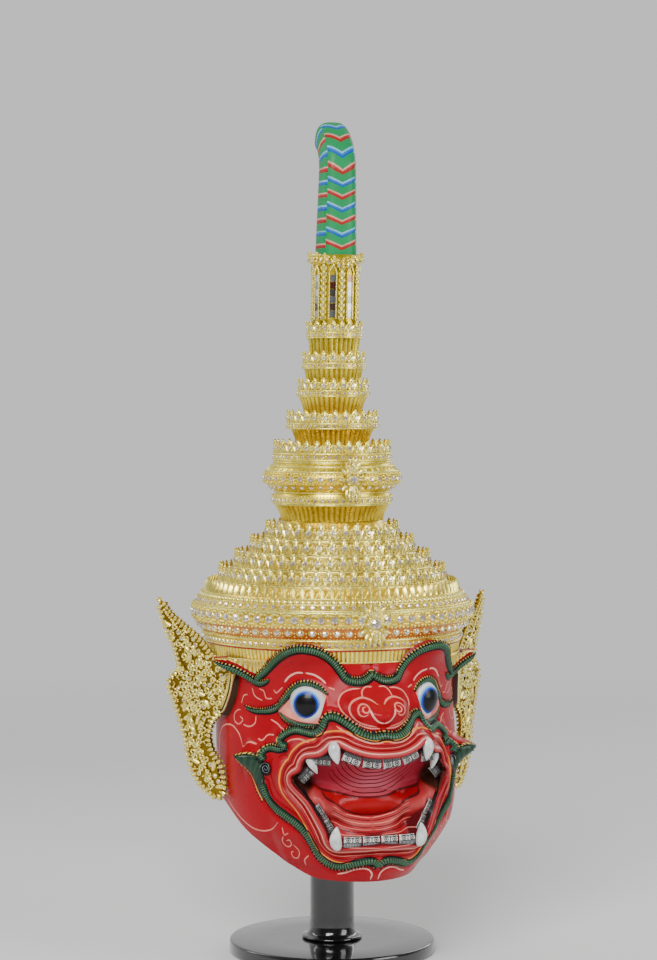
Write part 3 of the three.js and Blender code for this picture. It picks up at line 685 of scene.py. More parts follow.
def fringe(heap, path, normal, side, halfWidth, pitch=2.7):
    # A row of black thorns on a gilt ground along one edge of a band.
    form = bandForm
    count = max(2, int(len(path) * form["step"] / pitch))
    at = np.linspace(0, len(path) - 1, count).astype(int)
    reach = form["thornReach"] * np.clip(path[:, 2:3], 0.3, 1)
    inner = path[:, :2] + side * normal * (halfWidth - form["overlap"]) * widthOf(path)
    strip = np.stack([inner, inner + side * normal * form["goldShare"] * reach], 1)
    gold = onFace(strip[..., 0], strip[..., 1], form["goldLift"])
    heap.add(gold, gridFaces(len(path), 2), 0.0, paints["goldPaint"])
    along, _ = courseOf(path)
    root, half = inner[at], along[at] * pitch * form["thornHalf"]
    thorns = np.stack([root - half, root + half, root + side * normal[at] * reach[at]], 1)
    ridge = onFace(root[:, 0], root[:, 1], form["thornRidge"])[:, None]
    points = np.concatenate([onFace(thorns[..., 0], thorns[..., 1], form["thornLift"]), ridge], 1)
    base = np.arange(count)[:, None] * 4
    heap.add(points, np.concatenate([base + [0, 3, 2], base + [3, 1, 2], base + [0, 1, 3]]), 1.0, paints["black"])


def paintLine(heap, knots, width, colour, lift=0.22, step=0.8, closed=False):
    # A thin raised stroke of paint; an open one narrows towards both ends like a brush line.
    path = smoothPath(knots, step, closed)
    _, normal = courseOf(path)
    share = np.linspace(0, 1, len(path))[:, None]
    reach = 1.0 if closed else np.minimum(1, 0.3 + 9 * np.minimum(share, 1 - share))
    u, h = ribbon(path, normal, np.array([-0.5, 0.0, 0.5]), width * reach)
    heap.add(onFace(u, h, [0.03, lift, 0.03]), gridFaces(len(path), 3), 0.6, paints[colour])


def taperEnds(knots, first, last):
    widths = np.interp(np.linspace(0, 1, len(knots)), [0, 0.25, 0.75, 1], [first, 1, 1, last])
    return [(u, h, width) for (u, h), width in zip(knots, widths)]


def makeBands():
    rolls, edging = Heap(), Heap()
    broad, high = bandForm["halfWidth"], bandForm["rise"]
    lidBroad, lidHigh = bandForm["lidHalfWidth"], bandForm["lidRise"]

    def addRoll(knots, halfWidth, rise, side=1):
        # The fringe runs along one side of the roll, a black line along the other.
        points, faces, tone, (path, normal) = sweptBand(knots, halfWidth, rise)
        rolls.add(points, faces, tone, paints["green"])
        fringe(edging, path, normal, side, halfWidth)
        border = path[:, :2] - side * normal * (halfWidth + 0.2) * widthOf(path)
        paintLine(edging, border[::3], 1.5, "black", 0.5, 1.2)

    addRoll(joined(faceLines["hair"]), broad, high)
    pairs = [bothSides(faceLines[key]) for key in ("temple", "whisker", "beard", "upperLid", "lowerLid")]
    for side, (temple, whisker, beard, upper, lower) in zip((1, -1), zip(*pairs)):
        addRoll(taperEnds(temple, 0.3, 0.3), broad * 0.9, high, side)
        addRoll(taperEnds(whisker, 0.5, 1.0), broad * 0.9, high * 0.8, side)
        addRoll(beard, broad, high, side)
        addRoll(taperEnds(upper, 0.4, 0.6), lidBroad, lidHigh, side)
        addRoll(taperEnds(lower, 0.3, 0.3), lidBroad * 0.8, lidHigh * 0.8, side)
    addRoll(joined(faceLines["moustache"]), broad, high)
    for outer, inner in zip(bothSides(faceLines["leafOuter"]), bothSides(faceLines["leafInner"])):
        addLeaf(rolls, edging, outer, inner)
    makePiece("greenBands", rolls, bandFinish())
    return edging


leafForm = {
    "rise": 2.6, "veins": 9, "slant": 1.5, "across": 102.5, "height": -93,
    "disc": (0.05, 3.0, 6.2), "discLift": 1.2, "coil": 5.4, "coilPitch": 0.36, "coilTurn": 13.5,
}


def addLeaf(rolls, edging, outer, inner):
    # The broad leaf that the beard band grows into behind each mouth corner, with a coil on a black disc.
    form = leafForm
    a, b = smoothPath(outer, 1.0), smoothPath(inner, 1.0)
    share = np.linspace(0, 1, len(a))[:, None]
    s = np.linspace(0, 1, 13)[None, :]
    u, h = between(a, resampled(b, len(a)), s)
    veins = 0.5 + 0.5 * np.cos(2 * math.pi * (share * form["veins"] + s * form["slant"]))
    swell = np.sin(math.pi * s)
    lift = form["rise"] * swell ** 0.5 * (0.86 + 0.14 * veins) - 0.3
    # tone: painted shade between the veins and towards the leaf's edges
    rolls.add(onFace(u, h, lift), gridFaces(*u.shape), 0.15 + 0.35 * veins * swell, paints["green"])
    hand = 1 if outer[0][0] > 0 else -1
    for line, way in ((a, 1), (smoothPath(inner[:3], 1.0), -1)):
        normal = hand * courseOf(line)[1]
        fringe(edging, np.column_stack([line, np.ones(len(line))]), normal, way, 0.4, pitch=1.15)
    paintLine(edging, inner[1:], 1.4, "black", 0.5, 1.2)
    disc = np.linspace(0, 2 * math.pi, 24, endpoint=False)[None, :]
    spread = np.array(form["disc"])[:, None]
    u, h = hand * form["across"] + spread * np.cos(disc), form["height"] + spread * np.sin(disc)
    edging.add(onFace(u, h, form["discLift"]), gridFaces(3, 24, closed=True), 0.0, paints["black"])
    coil = []
    for turn in np.linspace(0, form["coilTurn"], 34):
        reach = form["coil"] - form["coilPitch"] * turn
        coil.append((hand * (form["across"] + reach * math.cos(turn)), form["height"] + reach * math.sin(turn)))
    paintLine(edging, coil, 0.95, "greyBlue", 1.7)


def bandFinish():
    # Ribbed green enamel; the tone gives painted shade, near black, in the grooves and down the band's sides and a
    # paler painted highlight on the ridges.
    finish = Finish("greenBand").set(Coat_Weight=0.1, Coat_Roughness=0.15, Specular_IOR_Level=0.3)
    green = finish.ramp(finish.attribute("tone"), [
        (0.1, (0.004, 0.018, 0.01)), (0.5, (0.015, 0.075, 0.034)), (0.95, (0.065, 0.21, 0.09))])
    finish.mottle(green, 70.0, 0.7)
    finish.rough(150.0, 0.25, 0.45)
    return finish.material


eyeForm = {
    "across": 62.6, "height": -33.4, "radius": 19.0, "centreRadius": 97.0, "dropped": 1.6, "reach": 16.6,
    "bulge": 2.4, "bulgeFrom": 12.0, "tall": 1.02, "toneReach": 20.0,
    # the iris outwards as (reach, colour)
    "rings": [(8.8, (0.002, 0.002, 0.003)), (9.8, (0.004, 0.01, 0.08)), (11.2, (0.01, 0.06, 0.45)),
              (12.4, (0.16, 0.32, 0.72)), (13.2, (0.5, 0.6, 0.78)), (19.1, (0.76, 0.77, 0.76))],
    "almond": (0.04, 0.96), "warmFrom": 15.2, "warmTo": 19.5,
}


def makeEyes():
    heap, form = Heap(), eyeForm
    around = np.linspace(0, 2 * math.pi, 96, endpoint=False)
    off = np.concatenate([[0.02], np.linspace(1, form["reach"], 64)])[:, None]
    bulge = form["bulge"] * (1 - smoothstep(off, form["bulgeFrom"], form["reach"]))
    depth = np.sqrt(form["radius"] ** 2 - off ** 2) + bulge
    tone = np.hypot(off * np.cos(around), off * np.sin(around) + form["dropped"]) / form["toneReach"]
    for side in (-1, 1):
        across = side * form["across"]
        centre = polar(np.array(form["centreRadius"]), np.array(across), np.array(form["height"])) / mm
        right, out = facing(across / places["drum"])
        wheel = right * np.cos(around)[:, None] + upwards * np.sin(around)[:, None] * form["tall"]
        spots = centre + out * depth[..., None] + off[..., None] * wheel
        heap.add(spots * mm, gridFaces(len(off), len(around), closed=True), tone)
    finish = Finish("paintedEye").set(Coat_Weight=0.2, Coat_Roughness=0.05, Roughness=0.4, Specular_IOR_Level=0.2)
    starts = [0.0] + [reach / form["toneReach"] for reach, _ in form["rings"][:-1]]
    stops = [(at, colour) for at, (_, colour) in zip(starts, form["rings"])]
    finish.mottle(finish.ramp(finish.attribute("tone"), stops, "CONSTANT"), 60.0, 0.86)
    finish.bump(300.0, 0.05, 0.3)
    makePiece("paintedEyes", heap, finish.material)
    # the white almond round each eye, warm at its corners
    almond = Heap()
    for upper, lower in zip(bothSides(faceLines["upperLid"][:8]), bothSides(faceLines["lowerLid"][::-1])):
        a, b = resampled(smoothPath(upper, 1.0), 56), resampled(smoothPath(lower, 1.0), 56)
        u, h = between(a, b, np.linspace(*form["almond"], 24)[None, :])
        gap = np.hypot(np.abs(u) - form["across"], 1.15 * (h - form["height"]))
        white = np.broadcast_to(np.array(paints["white"]), u.shape + (3,))
        tint = blend(white, "pink", smoothstep(gap, form["warmFrom"], form["warmTo"]))
        almond.add(onFace(u, h, 0.3), gridFaces(*u.shape), 0.5, tint.reshape(-1, 3))
    makePiece("eyeCorners", almond, lacquerFinish("eyeWhite", 0.25, 0.4, 0.12))


# Lines round the lips as (distance outwards, width, colour, lift).
lipLines = [
    (2.8, 0.9, "palePink", 0.25), (5.4, 1.1, "deepRed", 0.12), (7.4, 0.8, "pink", 0.2),
    (10.0, 0.9, "deepRed", 0.15), (13.6, 1.6, "orange", 0.25), (-2.6, 2.4, "black", 0.1),
]
# Brush strokes on both sides of the face as (width, colour, knots).
strokes = [
    (1.2, "pink", [(2.5, -32.5), (7, -28.8), (14, -27), (21.5, -30), (24.5, -35.5), (23, -41.5), (18.5, -46.5),
                   (12, -49.5), (5, -51)]),
    (1.0, "pink", [(12.5, -33.5), (15, -34.8), (14.5, -38), (11.8, -38.3), (10, -35.5), (11.8, -32.2), (16, -32),
                   (18.5, -35.8), (17.3, -40.5), (14, -41.6), (11.2, -39.6)]),
    (1.2, "palePink", [(9.6, -36), (8.2, -41), (4.5, -46), (0, -48)]),
    (1.1, "pink", [(13.5, -20), (21, -20.5), (29, -24), (33, -31), (31, -37.5), (27, -42), (22, -46)]),
    (1.0, "pink", [(3, -18.5), (9, -18.8), (12.5, -22.5), (13, -27)]),
    (1.0, "pink", [(2, -52.5), (11, -52), (19, -48.5), (27, -44)]),
    (1.35, "palePink", [(86.5, -16.5), (80.5, -11), (73, -7.6), (66.5, -7.4)]),
    (1.35, "palePink", [(64, -7.4), (56.5, -8.8), (49.5, -12.3), (44.5, -16.5)]),
    (1.2, "pink", [(42, -19.5), (36, -21.5)]),
    (1.0, "pink", [(99.5, -24), (96.5, -26.5), (88.5, -21)]),
    (1.0, "pink", [(117, -24), (111.5, -26), (109, -32), (102, -32)]),
    (1.0, "pink", [(126.5, -24), (123.5, -31), (114, -34.5)]),
    (1.0, "pink", [(143, -39), (139.5, -32), (133.5, -30.5)]),
    (1.0, "pink", [(143.5, -45), (148.5, -45.5), (154, -50), (152, -56), (144.5, -57.5), (139.5, -53.5),
                   (144.5, -50.5)]),
    (1.1, "pink", [(138, -57.5), (129, -58.5), (122, -55), (121.5, -48.5)]),
    (1.1, "pink", [(103, -50.5), (94, -54), (85.5, -59.5)]),
    (1.2, "pink", [(116, -68), (110.5, -69), (104.5, -64), (96.5, -63.5)]),
    (1.2, "pink", [(135.5, -77.5), (131.5, -75), (125, -71.5), (115, -72.5)]),
    (1.2, "pink", [(135, -78), (141, -69), (147, -64), (157, -60), (169, -60.5), (181, -65), (188, -74), (191, -90),
                   (188, -108), (180, -122), (169.5, -131), (154, -138), (138.5, -145), (124, -149.5), (110, -150),
                   (98, -146.5), (89.5, -139.5)]),
    (0.9, "pink", [(85.5, -143.5), (84.5, -150.5), (79.5, -148.5)]),
    (0.9, "pink", [(86, -152), (89, -158), (85, -162.5), (79.5, -160), (80, -155.5), (84, -156.5)]),
    (0.9, "pink", [(77, -160), (72, -165.5), (74.5, -172), (80.5, -172.5), (82, -168), (78.5, -166.5)]),
    (1.1, "pink", [(61.5, -168.5), (67, -173.5), (67, -179)]),
    (1.2, "palePink", [(34, -184), (26.5, -182), (17.5, -178), (9, -177.5), (4, -182), (3.5, -189)]),
    (1.1, "pink", [(57, -66), (68, -64.5), (78, -66.5), (82, -70)]),
    (1.1, "pink", [(2, -63.5), (12, -63.5), (24, -57.5), (35, -51)]),
    (1.0, "deepRed", [(88, -82), (84, -79), (76, -79.5)]),
    (1.0, "deepRed", [(96, -84), (97, -95), (92, -108), (84, -118)]),
]
strokeWiden = 1.2
# Arcs on the palate and ripples on the gum: where the first one lies, and the step to the next.
arcs = {
    "count": 7, "low": -113.5, "rise": 3.7, "half": 43, "narrowing": 3.6,
    # one arc as (share of its half width, height above its middle)
    "shape": ((0, 0), (0.3, 0.4), (0.62, 4.0), (0.88, 11.5), (1, 20)),
}
ripples = {
    "count": 9, "low": -134.5, "first": 1.5, "step": 2.3, "edge": -117, "edgeStep": 4.0, "edgeLowest": -151.0,
}


def lipParallel(reach):
    # A line parallel to the lips, eased so that its corners don't knot.
    line = mouthEdge + reach * courseOf(mouthEdge)[1]
    for _ in range(int(2 + abs(reach) / 2)):
        line = (np.roll(line, 1, 0) + 2 * line + np.roll(line, -1, 0)) / 4
    return line[::2]


def makePaintLines(heap):
    outwards = 1 if np.ptp(lipParallel(-2.6)[:, 0]) < np.ptp(mouthEdge[:, 0]) else -1
    for reach, width, colour, lift in lipLines:
        paintLine(heap, lipParallel(outwards * reach), width, colour, lift, 1.0, closed=True)
    for width, colour, knots in strokes:
        for line in bothSides(knots):
            paintLine(heap, line, width * strokeWiden, colour, 0.3)
    for k in range(arcs["count"]):
        low, wide = arcs["low"] + arcs["rise"] * k, arcs["half"] - arcs["narrowing"] * k
        arc = [(share * wide, low + rise) for share, rise in arcs["shape"]]
        paintLine(heap, joined(arc), 0.85, "line", 0.2, 1.4)
    paintLine(heap, joined(faceLines["palate"]), 1.7, "line", 0.3, 1.4)
    paintLine(heap, joined(faceLines["tongue"]), 1.5, "line", 0.3, 1.4)
    for k in range(ripples["count"]):
        low = ripples["low"] - (ripples["first"] + ripples["step"] * k) * (0.9 + 0.03 * k)
        edge = max(ripples["edgeLowest"], ripples["edge"] - ripples["edgeStep"] * k)
        half = [(0, low), (12, low + 0.8 + 0.5 * math.cos(k)), (26 + 0.5 * k, low + 4.8 - 0.45 * k),
                (38 + 0.6 * k, 0.5 * (low + 5 + edge))]
        for line in bothSides(half)[::-1]:
            paintLine(heap, line, 0.7, "line" if k % 2 else "pink", 0.2, 1.4)
    makePiece("paintedLines", heap, lacquerFinish("linePaint", 0.28, 0.45, 0.1))


templeForm = {
    "from": 102.0, "to": 156.0, "step": 0.5, "above": 7.5, "top": 1.2, "lowTop": 0.6, "lift": 0.9, "flute": 0.5,
    "pitch": 4.15, "crownFoot": (117.0, 1.5),
}


def makeTempleGilt():
    # The fluted gilding under the brim comes down to the green bands at the temples.
    gilt, form = Heap(), templeForm
    s = np.linspace(0, 1, 7)[:, None]
    for side in (-1, 1):
        u = side * np.arange(form["from"], form["to"], form["step"])[None, :]
        low = np.interp(np.abs(u), *np.transpose(faceLines["temple"])) + form["above"]
        low = np.minimum(low, form["lowTop"])
        h = low + (form["top"] - low) * s
        flute = form["flute"] * np.cos(u * 2 * math.pi / form["pitch"])
        radius = skinRadius(u + 0 * s, h) + form["lift"] + flute * np.sin(math.pi * np.clip(s + 0.08, 0, 1))
        # the last row turns in over the top, to the crown's foot
        footRadius, footHeight = form["crownFoot"]
        radius = np.vstack([radius, np.full(u.shape, footRadius)])
        h = np.vstack([h, np.full(u.shape, footHeight)])
        # tone follows the flutes: a painted highlight on their ridges, painted shade in their hollows
        gilt.add(polar(radius, u + 0 * h, h), gridFaces(*h.shape), 0.55 + 0.8 * np.broadcast_to(flute, h.shape))
    makePiece("templeGilt", gilt, giltFinish("templeGold", (0.9, 0.6, 0.05), (1.0, 0.86, 0.3)))


# Blocks of two teeth. The blocks at the sides are (across, height, width, tall, tilt, radius, shade); their shade
# greys them as painted shade, set back in the mouth.
toothRows = {
    "upper": {"radius": 140.5, "height": -82.4, "tall": 10.8, "sag": 5.8, "blocks": 4, "pitch": 17.9, "way": 1,
              "sides": [(49.5, -81, 13.5, 9.5, 0.08, 130.0, 0.5), (63, -96, 13, 8.5, -0.8, 123.0, 0.4)]},
    "lower": {"radius": 136.5, "height": -151.8, "tall": 9.2, "sag": 0.0, "blocks": 4, "pitch": 16.9, "way": -1,
              "sides": [(52.5, -127.5, 14, 8.0, 1.0, 129.0, 0.4), (44.5, -140.0, 14, 8.0, 1.0, 129.0, 0.4)]},
}
toothForm = {
    "depth": 4.5, "cuts": 9, "gap": 1.7, "gum": (0.34, 0.35, 0.36), "enamel": (0.78, 0.77, 0.73), "gumFrom": 0.04,
    "lineLift": 0.225, "gumLines": 11,
}


def addToothBlock(heap, u0, h0, width, tall, way, tilt, radius, shade=1.0):
    # Two teeth in one block: a lined grey gum half, a white half with a ringed dot in each tooth.
    form, cuts = toothForm, toothForm["cuts"]

    def turned(x, z):
        u = u0 + x * math.cos(tilt) - z * math.sin(tilt)
        return u * places["drum"] / radius, h0 + x * math.sin(tilt) + z * math.cos(tilt)

    x, z = np.meshgrid(np.linspace(-1, 1, cuts), np.linspace(-1, 1, cuts))
    pillow = form["depth"] * (1 - 0.3 * (x ** 8 + z ** 8))
    x, z = x * width / 2, z * tall / 2
    tint = np.where((z * way > form["gumFrom"] * tall)[..., None], form["gum"], form["enamel"])
    heap.add(polar(radius - form["depth"] + pillow, *turned(x, z)), gridFaces(cuts, cuts), 0.5,
             shade * tint.reshape(-1, 3))

    def line(knots, thick):
        # A black line, its knots as shares of the block's width and height, gum upwards.
        path = smoothPath([(width * x, way * tall * z) for x, z in knots], 0.5)
        x, z = ribbon(path, courseOf(path)[1], np.array([-0.5, 0.5]), thick)
        heap.add(polar(np.full(x.shape, radius + form["lineLift"]), *turned(x, z)), gridFaces(len(path), 2), 0.5,
                 paints["black"])

    for x in np.linspace(-0.45, 0.45, form["gumLines"]):
        line([(x, 0.08), (x, 0.3), (x, 0.46)], 0.55)
    for x in (-0.25, 0.25):
        for size, thick in ((0.115, 0.65), (0.03, 0.9)):
            line([(x + size * math.cos(a), -0.2 + way * size * width / tall * math.sin(a))
                  for a in np.linspace(0, 2 * math.pi, 11)], thick)
        line([(x + 0.225 * k, -0.46 + 0.1 * k ** 4) for k in np.linspace(-1, 1, 9)], 0.7)
    line([(0, -0.48), (0, -0.2), (0, 0.05)], 0.9)
    line([(-0.49, 0.05), (0, 0.05), (0.49, 0.05)], 0.6)


def makeTeeth():
    heap = Heap()
    for row in toothRows.values():
        for k in range(row["blocks"]):
            u0 = (k - (row["blocks"] - 1) / 2) * row["pitch"]
            h0, tilt = row["height"] + row["sag"] * (u0 / 30) ** 2, row["sag"] * 2.3 * u0 / 900
            width = row["pitch"] - toothForm["gap"]
            addToothBlock(heap, u0, h0, width, row["tall"], row["way"], tilt, row["radius"])
        for side in (-1, 1):
            for u0, h0, width, tall, tilt, radius, shade in row["sides"]:
                addToothBlock(heap, side * u0, h0, width, tall, row["way"], side * tilt, radius, shade)
    finish = Finish("toothEnamel").set(Coat_Weight=0.4, Coat_Roughness=0.1)
    finish.mottle(finish.attribute("tint"), 90.0, 0.82)
    finish.rough(200.0, 0.2, 0.4)
    makePiece("paintedTeeth", heap, finish.material)


# Each fang goes from a place on the lip to its tip, as (across, height) and how far it stands off the face's line.
fangForm = {
    "upper_inner": {"root": (36, -62.5), "tip": (34, -82), "out": (142.5, 145.5), "radius": 5.3},
    "upper_outer": {"root": (57.5, -75.5), "tip": (50.5, -93), "out": (125.0, 129.0), "radius": 4.6},
    "lower": {"root": (34, -159.5), "tip": (34.5, -138), "out": (134.5, 136.5), "radius": 5.4},
}
fangShape = {"bend": 1.2, "thickestAt": 0.38, "end": 1.02, "flat": 0.8, "rows": 26, "columns": 24}


def makeFangs():
    shell = Finish("pearlShell").set(Coat_Weight=0.7, Coat_Roughness=0.08)
    shell.colour(shell.ramp(shell.noise(110.0, 4.0), [
        (0.3, (0.36, 0.38, 0.38)), (0.55, (0.62, 0.64, 0.62)), (0.75, (0.8, 0.8, 0.76))]))
    shell.rough(190.0, 0.15, 0.35)
    shape = fangShape
    share = np.linspace(0, 1, shape["rows"])[:, None]
    around = np.linspace(0, 2 * math.pi, shape["columns"], endpoint=False)[:, None]
    full = shape["thickestAt"]
    root = np.sqrt(np.maximum(1 - (1 - share / full) ** 2, 0.002))
    tip = np.maximum(1 - (np.maximum(share - full, 0) / (shape["end"] - full)) ** 1.9, 0) ** 0.85
    profile = np.where(share < full, root, tip)
    for kind, form in fangForm.items():
        (u0, h0), (u1, h1), (r0, r1) = form["root"], form["tip"], form["out"]
        curve = u0 + (u1 - u0) * share + shape["bend"] * np.sin(math.pi * share)
        for side, hand in ((-1, "left"), (1, "right")):
            start = polar(r0 + (r1 - r0) * share, side * curve, h0 + (h1 - h0) * share) / mm
            right, out = facing(side * u0 / places["drum"])
            wheel = right * np.cos(around) + shape["flat"] * out * np.sin(around)
            spots = start + form["radius"] * profile[..., None] * wheel
            heap = Heap()
            heap.add(spots * mm, gridFaces(shape["rows"], shape["columns"], closed=True), 0.5)
            makePiece("pearlFang_" + kind + "_" + hand, heap, shell.material,
                      ["fang_" + kind + "_" + hand])


makePaintLines(makeBands())
makeEyes()
makeTempleGilt()
makeTeeth()
makeFangs()


# Templates of gilt ornament, stamped round rings. Their tones are a painted highlight on tops, ridges and midribs and
# painted shade at their feet and edges.
def around(count, start=0.0):
    # Even turns round a circle.
    return np.linspace(start, start + 2 * math.pi, count, endpoint=False)


def domeShape(radius, rise, sides=8, rings=3):
    # A round bead or boss standing on its base.
    turn, level = around(sides), np.linspace(0, math.pi / 2, rings + 1)[:-1, None]
    x, z = radius * np.cos(level) * np.cos(turn), radius * np.cos(level) * np.sin(turn)
    points = np.vstack([np.stack([x, rise * np.sin(level) + 0 * x, z], -1).reshape(-1, 3), [[0, rise, 0]]])
    last = (rings - 1) * sides
    cap = np.array([[last + k, last + (k + 1) % sides, len(points) - 1] for k in range(sides)])
    return points, [gridFaces(rings, sides, closed=True), cap], np.clip(0.25 + 0.75 * points[:, 1] / rise, 0, 1)


def stoneShape(radius, rise, lift=0.0):
    # A cut stone: a sloped girdle and a flat table.
    sides = 8
    turn = around(sides, math.pi / sides)
    rings = [np.stack([r * np.cos(turn), lift + y + 0 * turn, r * np.sin(turn)], -1)
             for r, y in ((radius, 0.0), (radius * 0.92, rise * 0.55), (radius * 0.5, rise))]
    cap = np.array([[2 * sides + k, 2 * sides + (k + 1) % sides, 3 * sides] for k in range(sides)])
    points = np.vstack(rings + [[[0, lift + rise, 0]]])
    return points, [gridFaces(3, sides, closed=True), cap], np.ones(len(points))


def ringShape(radius, thick, sides=12, bends=5):
    # The raised edge of a stone's setting.
    turn = around(sides)[:, None]
    bend = np.linspace(-0.4, math.pi + 0.4, bends)[None, :]
    reach = radius + thick * np.cos(bend)
    points = np.stack([reach * np.cos(turn), thick * np.sin(bend) + 0 * turn, reach * np.sin(turn)], -1)
    tone = np.broadcast_to(0.3 + 0.7 * np.sin(np.clip(bend, 0, math.pi)), points.shape[:2])
    wrapped = np.concatenate([points, points[:1]])
    return wrapped.reshape(-1, 3), [gridFaces(sides + 1, bends)], np.concatenate([tone, tone[:1]]).ravel()


def leafShape(width, tall, rise, curl=0.0, tip=0.7, rows=7):
    # A pointed leaf with a raised midrib, its tip bent outwards.
    v = np.linspace(0, 1, rows)[:, None]
    s = np.linspace(-1, 1, 5)[None, :]
    half = width / 2 * np.maximum((1 - v) ** tip * (0.62 + 1.3 * v), 0.02)
    swell = 0.4 + 0.6 * np.sin(math.pi * np.minimum(v * 0.9 + 0.1, 1))
    y = rise * (1 - np.abs(s) ** 1.4) * swell + curl * v ** 2
    points = np.stack([half * s, y, tall * v + 0 * s], -1)
    tone = np.clip(0.2 + 0.8 * (1 - np.abs(s)) + 0.2 * v, 0, 1)
    return points.reshape(-1, 3), [gridFaces(rows, 5)[:, ::-1]], tone.ravel()


def curlShape(radius, thick, turns=1.15, steps=12, bends=5, hand=1, rise=1.0):
    # A coiled tendril, thick at its root and thin at its eye.
    t = np.linspace(0, 1, steps)[:, None]
    angle = hand * (math.pi * 0.5 - 2 * math.pi * turns * t)
    bend = np.linspace(0, math.pi, bends)[None, :]
    girth = thick * (1 - 0.45 * t)
    off = radius * (1 - 0.78 * t) + girth * np.cos(bend)
    y = rise * girth * np.sin(bend) * 1.2 + 0.7 * t
    points = np.stack([hand * off * np.cos(angle), y, off * np.sin(angle)], -1)
    tone = np.broadcast_to(0.2 + 0.8 * np.sin(bend), points.shape[:2])
    return points.reshape(-1, 3), [gridFaces(steps, bends)], tone.ravel()


def moved(shape, x=0.0, y=0.0, z=0.0, turn=0.0, size=1.0):
    # A shape turned in its own plane, scaled and shifted.
    points, faces, tone = shape
    c, s = math.cos(turn) * size, math.sin(turn) * size
    out = np.stack([points[:, 0] * c + points[:, 2] * s + x, points[:, 1] * size + y,
                    -points[:, 0] * s + points[:, 2] * c + z], -1)
    return out, faces, tone


def paired(shape, x, y, z, turn=0.0):
    return [moved(shape, side * x, y, z, side * turn) for side in (-1, 1)]


def together(*shapes):
    points, faces, tones, count = [], {}, [], 0
    for shape, blocks, tone in shapes:
        for block in blocks:
            faces.setdefault(block.shape[1], []).append(block + count)
        points.append(shape)
        tones.append(tone)
        count += len(shape)
    return np.concatenate(points), [np.concatenate(group) for group in faces.values()], np.concatenate(tones)


def stamp(heap, shape, origins, rights, outs, ups, size=1.0):
    # Copies a shape to many places at once.
    points, faces, tone = shape
    size = np.broadcast_to(np.asarray(size, float), (len(origins),))[:, None, None]
    axes = (rights[:, None, :], outs[:, None, :], ups[:, None, :])
    spots = origins[:, None, :] + size * sum(points[None, :, k:k + 1] * axis for k, axis in enumerate(axes))
    start = np.arange(len(origins))[:, None, None] * len(points)
    blocks = [(block[None] + start).reshape(-1, block.shape[1]) for block in faces]
    heap.add(spots * mm, blocks, np.tile(tone, len(origins)))


spireLean = {"slope": 0.021, "from": 121.35 + 68.5}


def leanOf(height):
    return spireLean["slope"] * np.maximum(0, np.asarray(height, float) - spireLean["from"])


def onCrown(radius, angle, height):
    # A place round the leaning axis of crown and spire, in mm.
    radius, angle, height = np.broadcast_arrays(radius, angle, height)
    x, y = radius * np.sin(angle) + leanOf(height), -radius * np.cos(angle)
    return np.stack([x, y, places["seat"] + height], -1)


sizeUnevenness = 0.06


def ringStamp(heap, shape, radius, height, count, tilt=0.0, size=1.0, phase=0.0, dip=None, jitter=0.0):
    # A shape set all round a ring of the crown; tilt leans its top inwards.
    angle = (np.arange(count) + phase) * 2 * math.pi / count
    level = height + (dip(angle) if dip else 0 * angle)
    level = level + jitter * generator.uniform(-1, 1, count)
    size = size * (1 + jitter * sizeUnevenness * generator.uniform(-1, 1, count))
    right, out = facing(angle)
    outs = out * math.cos(tilt) + upwards * math.sin(tilt)
    ups = upwards * math.cos(tilt) - out * math.sin(tilt)
    stamp(heap, shape, onCrown(radius, angle, level), right, outs, ups, size)


def lathe(heap, rows, columns=180, flutes=0, depth=0.0, tone=0.6):
    # A turned band; flutes are hollows cut between even ridges, their tone lowered in the hollows as painted shade.
    rows = np.array(rows, float)
    angle = around(columns)[None, :]
    wave = 0.5 + 0.5 * np.cos(flutes * angle) if flutes else np.ones_like(angle)
    radius = rows[:, :1] - depth * (1 - wave) ** 1.5
    shade = np.broadcast_to(tone * (0.15 + 0.85 * wave) if flutes else tone, radius.shape)
    heap.add(onCrown(radius, angle, rows[:, 1:2]) * mm, gridFaces(len(rows), columns, closed=True), shade)


def hoop(heap, radius, height, thick, columns=132, tone=0.9):
    # A plain half-round moulding.
    turn = np.linspace(-1.6, 1.6, 6)
    lathe(heap, [(radius + thick * math.cos(t), height + thick * math.sin(t)) for t in turn], columns, tone=tone)


beadShape = domeShape(1.0, 1.0, 6, 2)
settingShape = ringShape(1.18, 0.26, 9, 3)
plainStone = stoneShape(1.0, 0.7, 0.1)

petalFlower = together(ringShape(1.2, 0.22, 9, 3), *[
    moved(domeShape(0.42, 0.55, 5, 2), 1.75 * math.cos(a), 0.0, 1.75 * math.sin(a)) for a in around(8)])

flameLeaf = together(
    leafShape(7.6, 14.0, 2.2, 1.2, 0.5), *paired(leafShape(4.4, 8.6, 1.6, 1.4, 0.5, rows=5), 2.6, 0.1, 0.8, 0.4),
    *[moved(curlShape(1.6, 0.7, steps=8, bends=4, hand=hand), -3.6 * hand, 0.5, 1.9) for hand in (1, -1)],
    moved(domeShape(1.55, 1.7), 0, 1.6, 13.0), *paired(domeShape(1.25, 1.4, 7, 2), 5.0, 1.4, 8.2),
    *paired(domeShape(1.0, 1.1, 7, 2), 2.1, 1.9, 10.6), moved(ringShape(2.5, 0.5, 12, 4), 0, 1.5, 5.6))
leafStone = moved(stoneShape(2.4, 1.5), 0, 1.7, 5.6)

hookLeaf = together(
    leafShape(5.2, 11.0, 2.3, 1.0, 0.55), moved(leafShape(2.6, 6.0, 1.2, 0.6, rows=5), 3.0, 0.2, 0.0, 0.35),
    moved(domeShape(0.8, 1.0, 6, 2), 0, 2.1, 9.4))


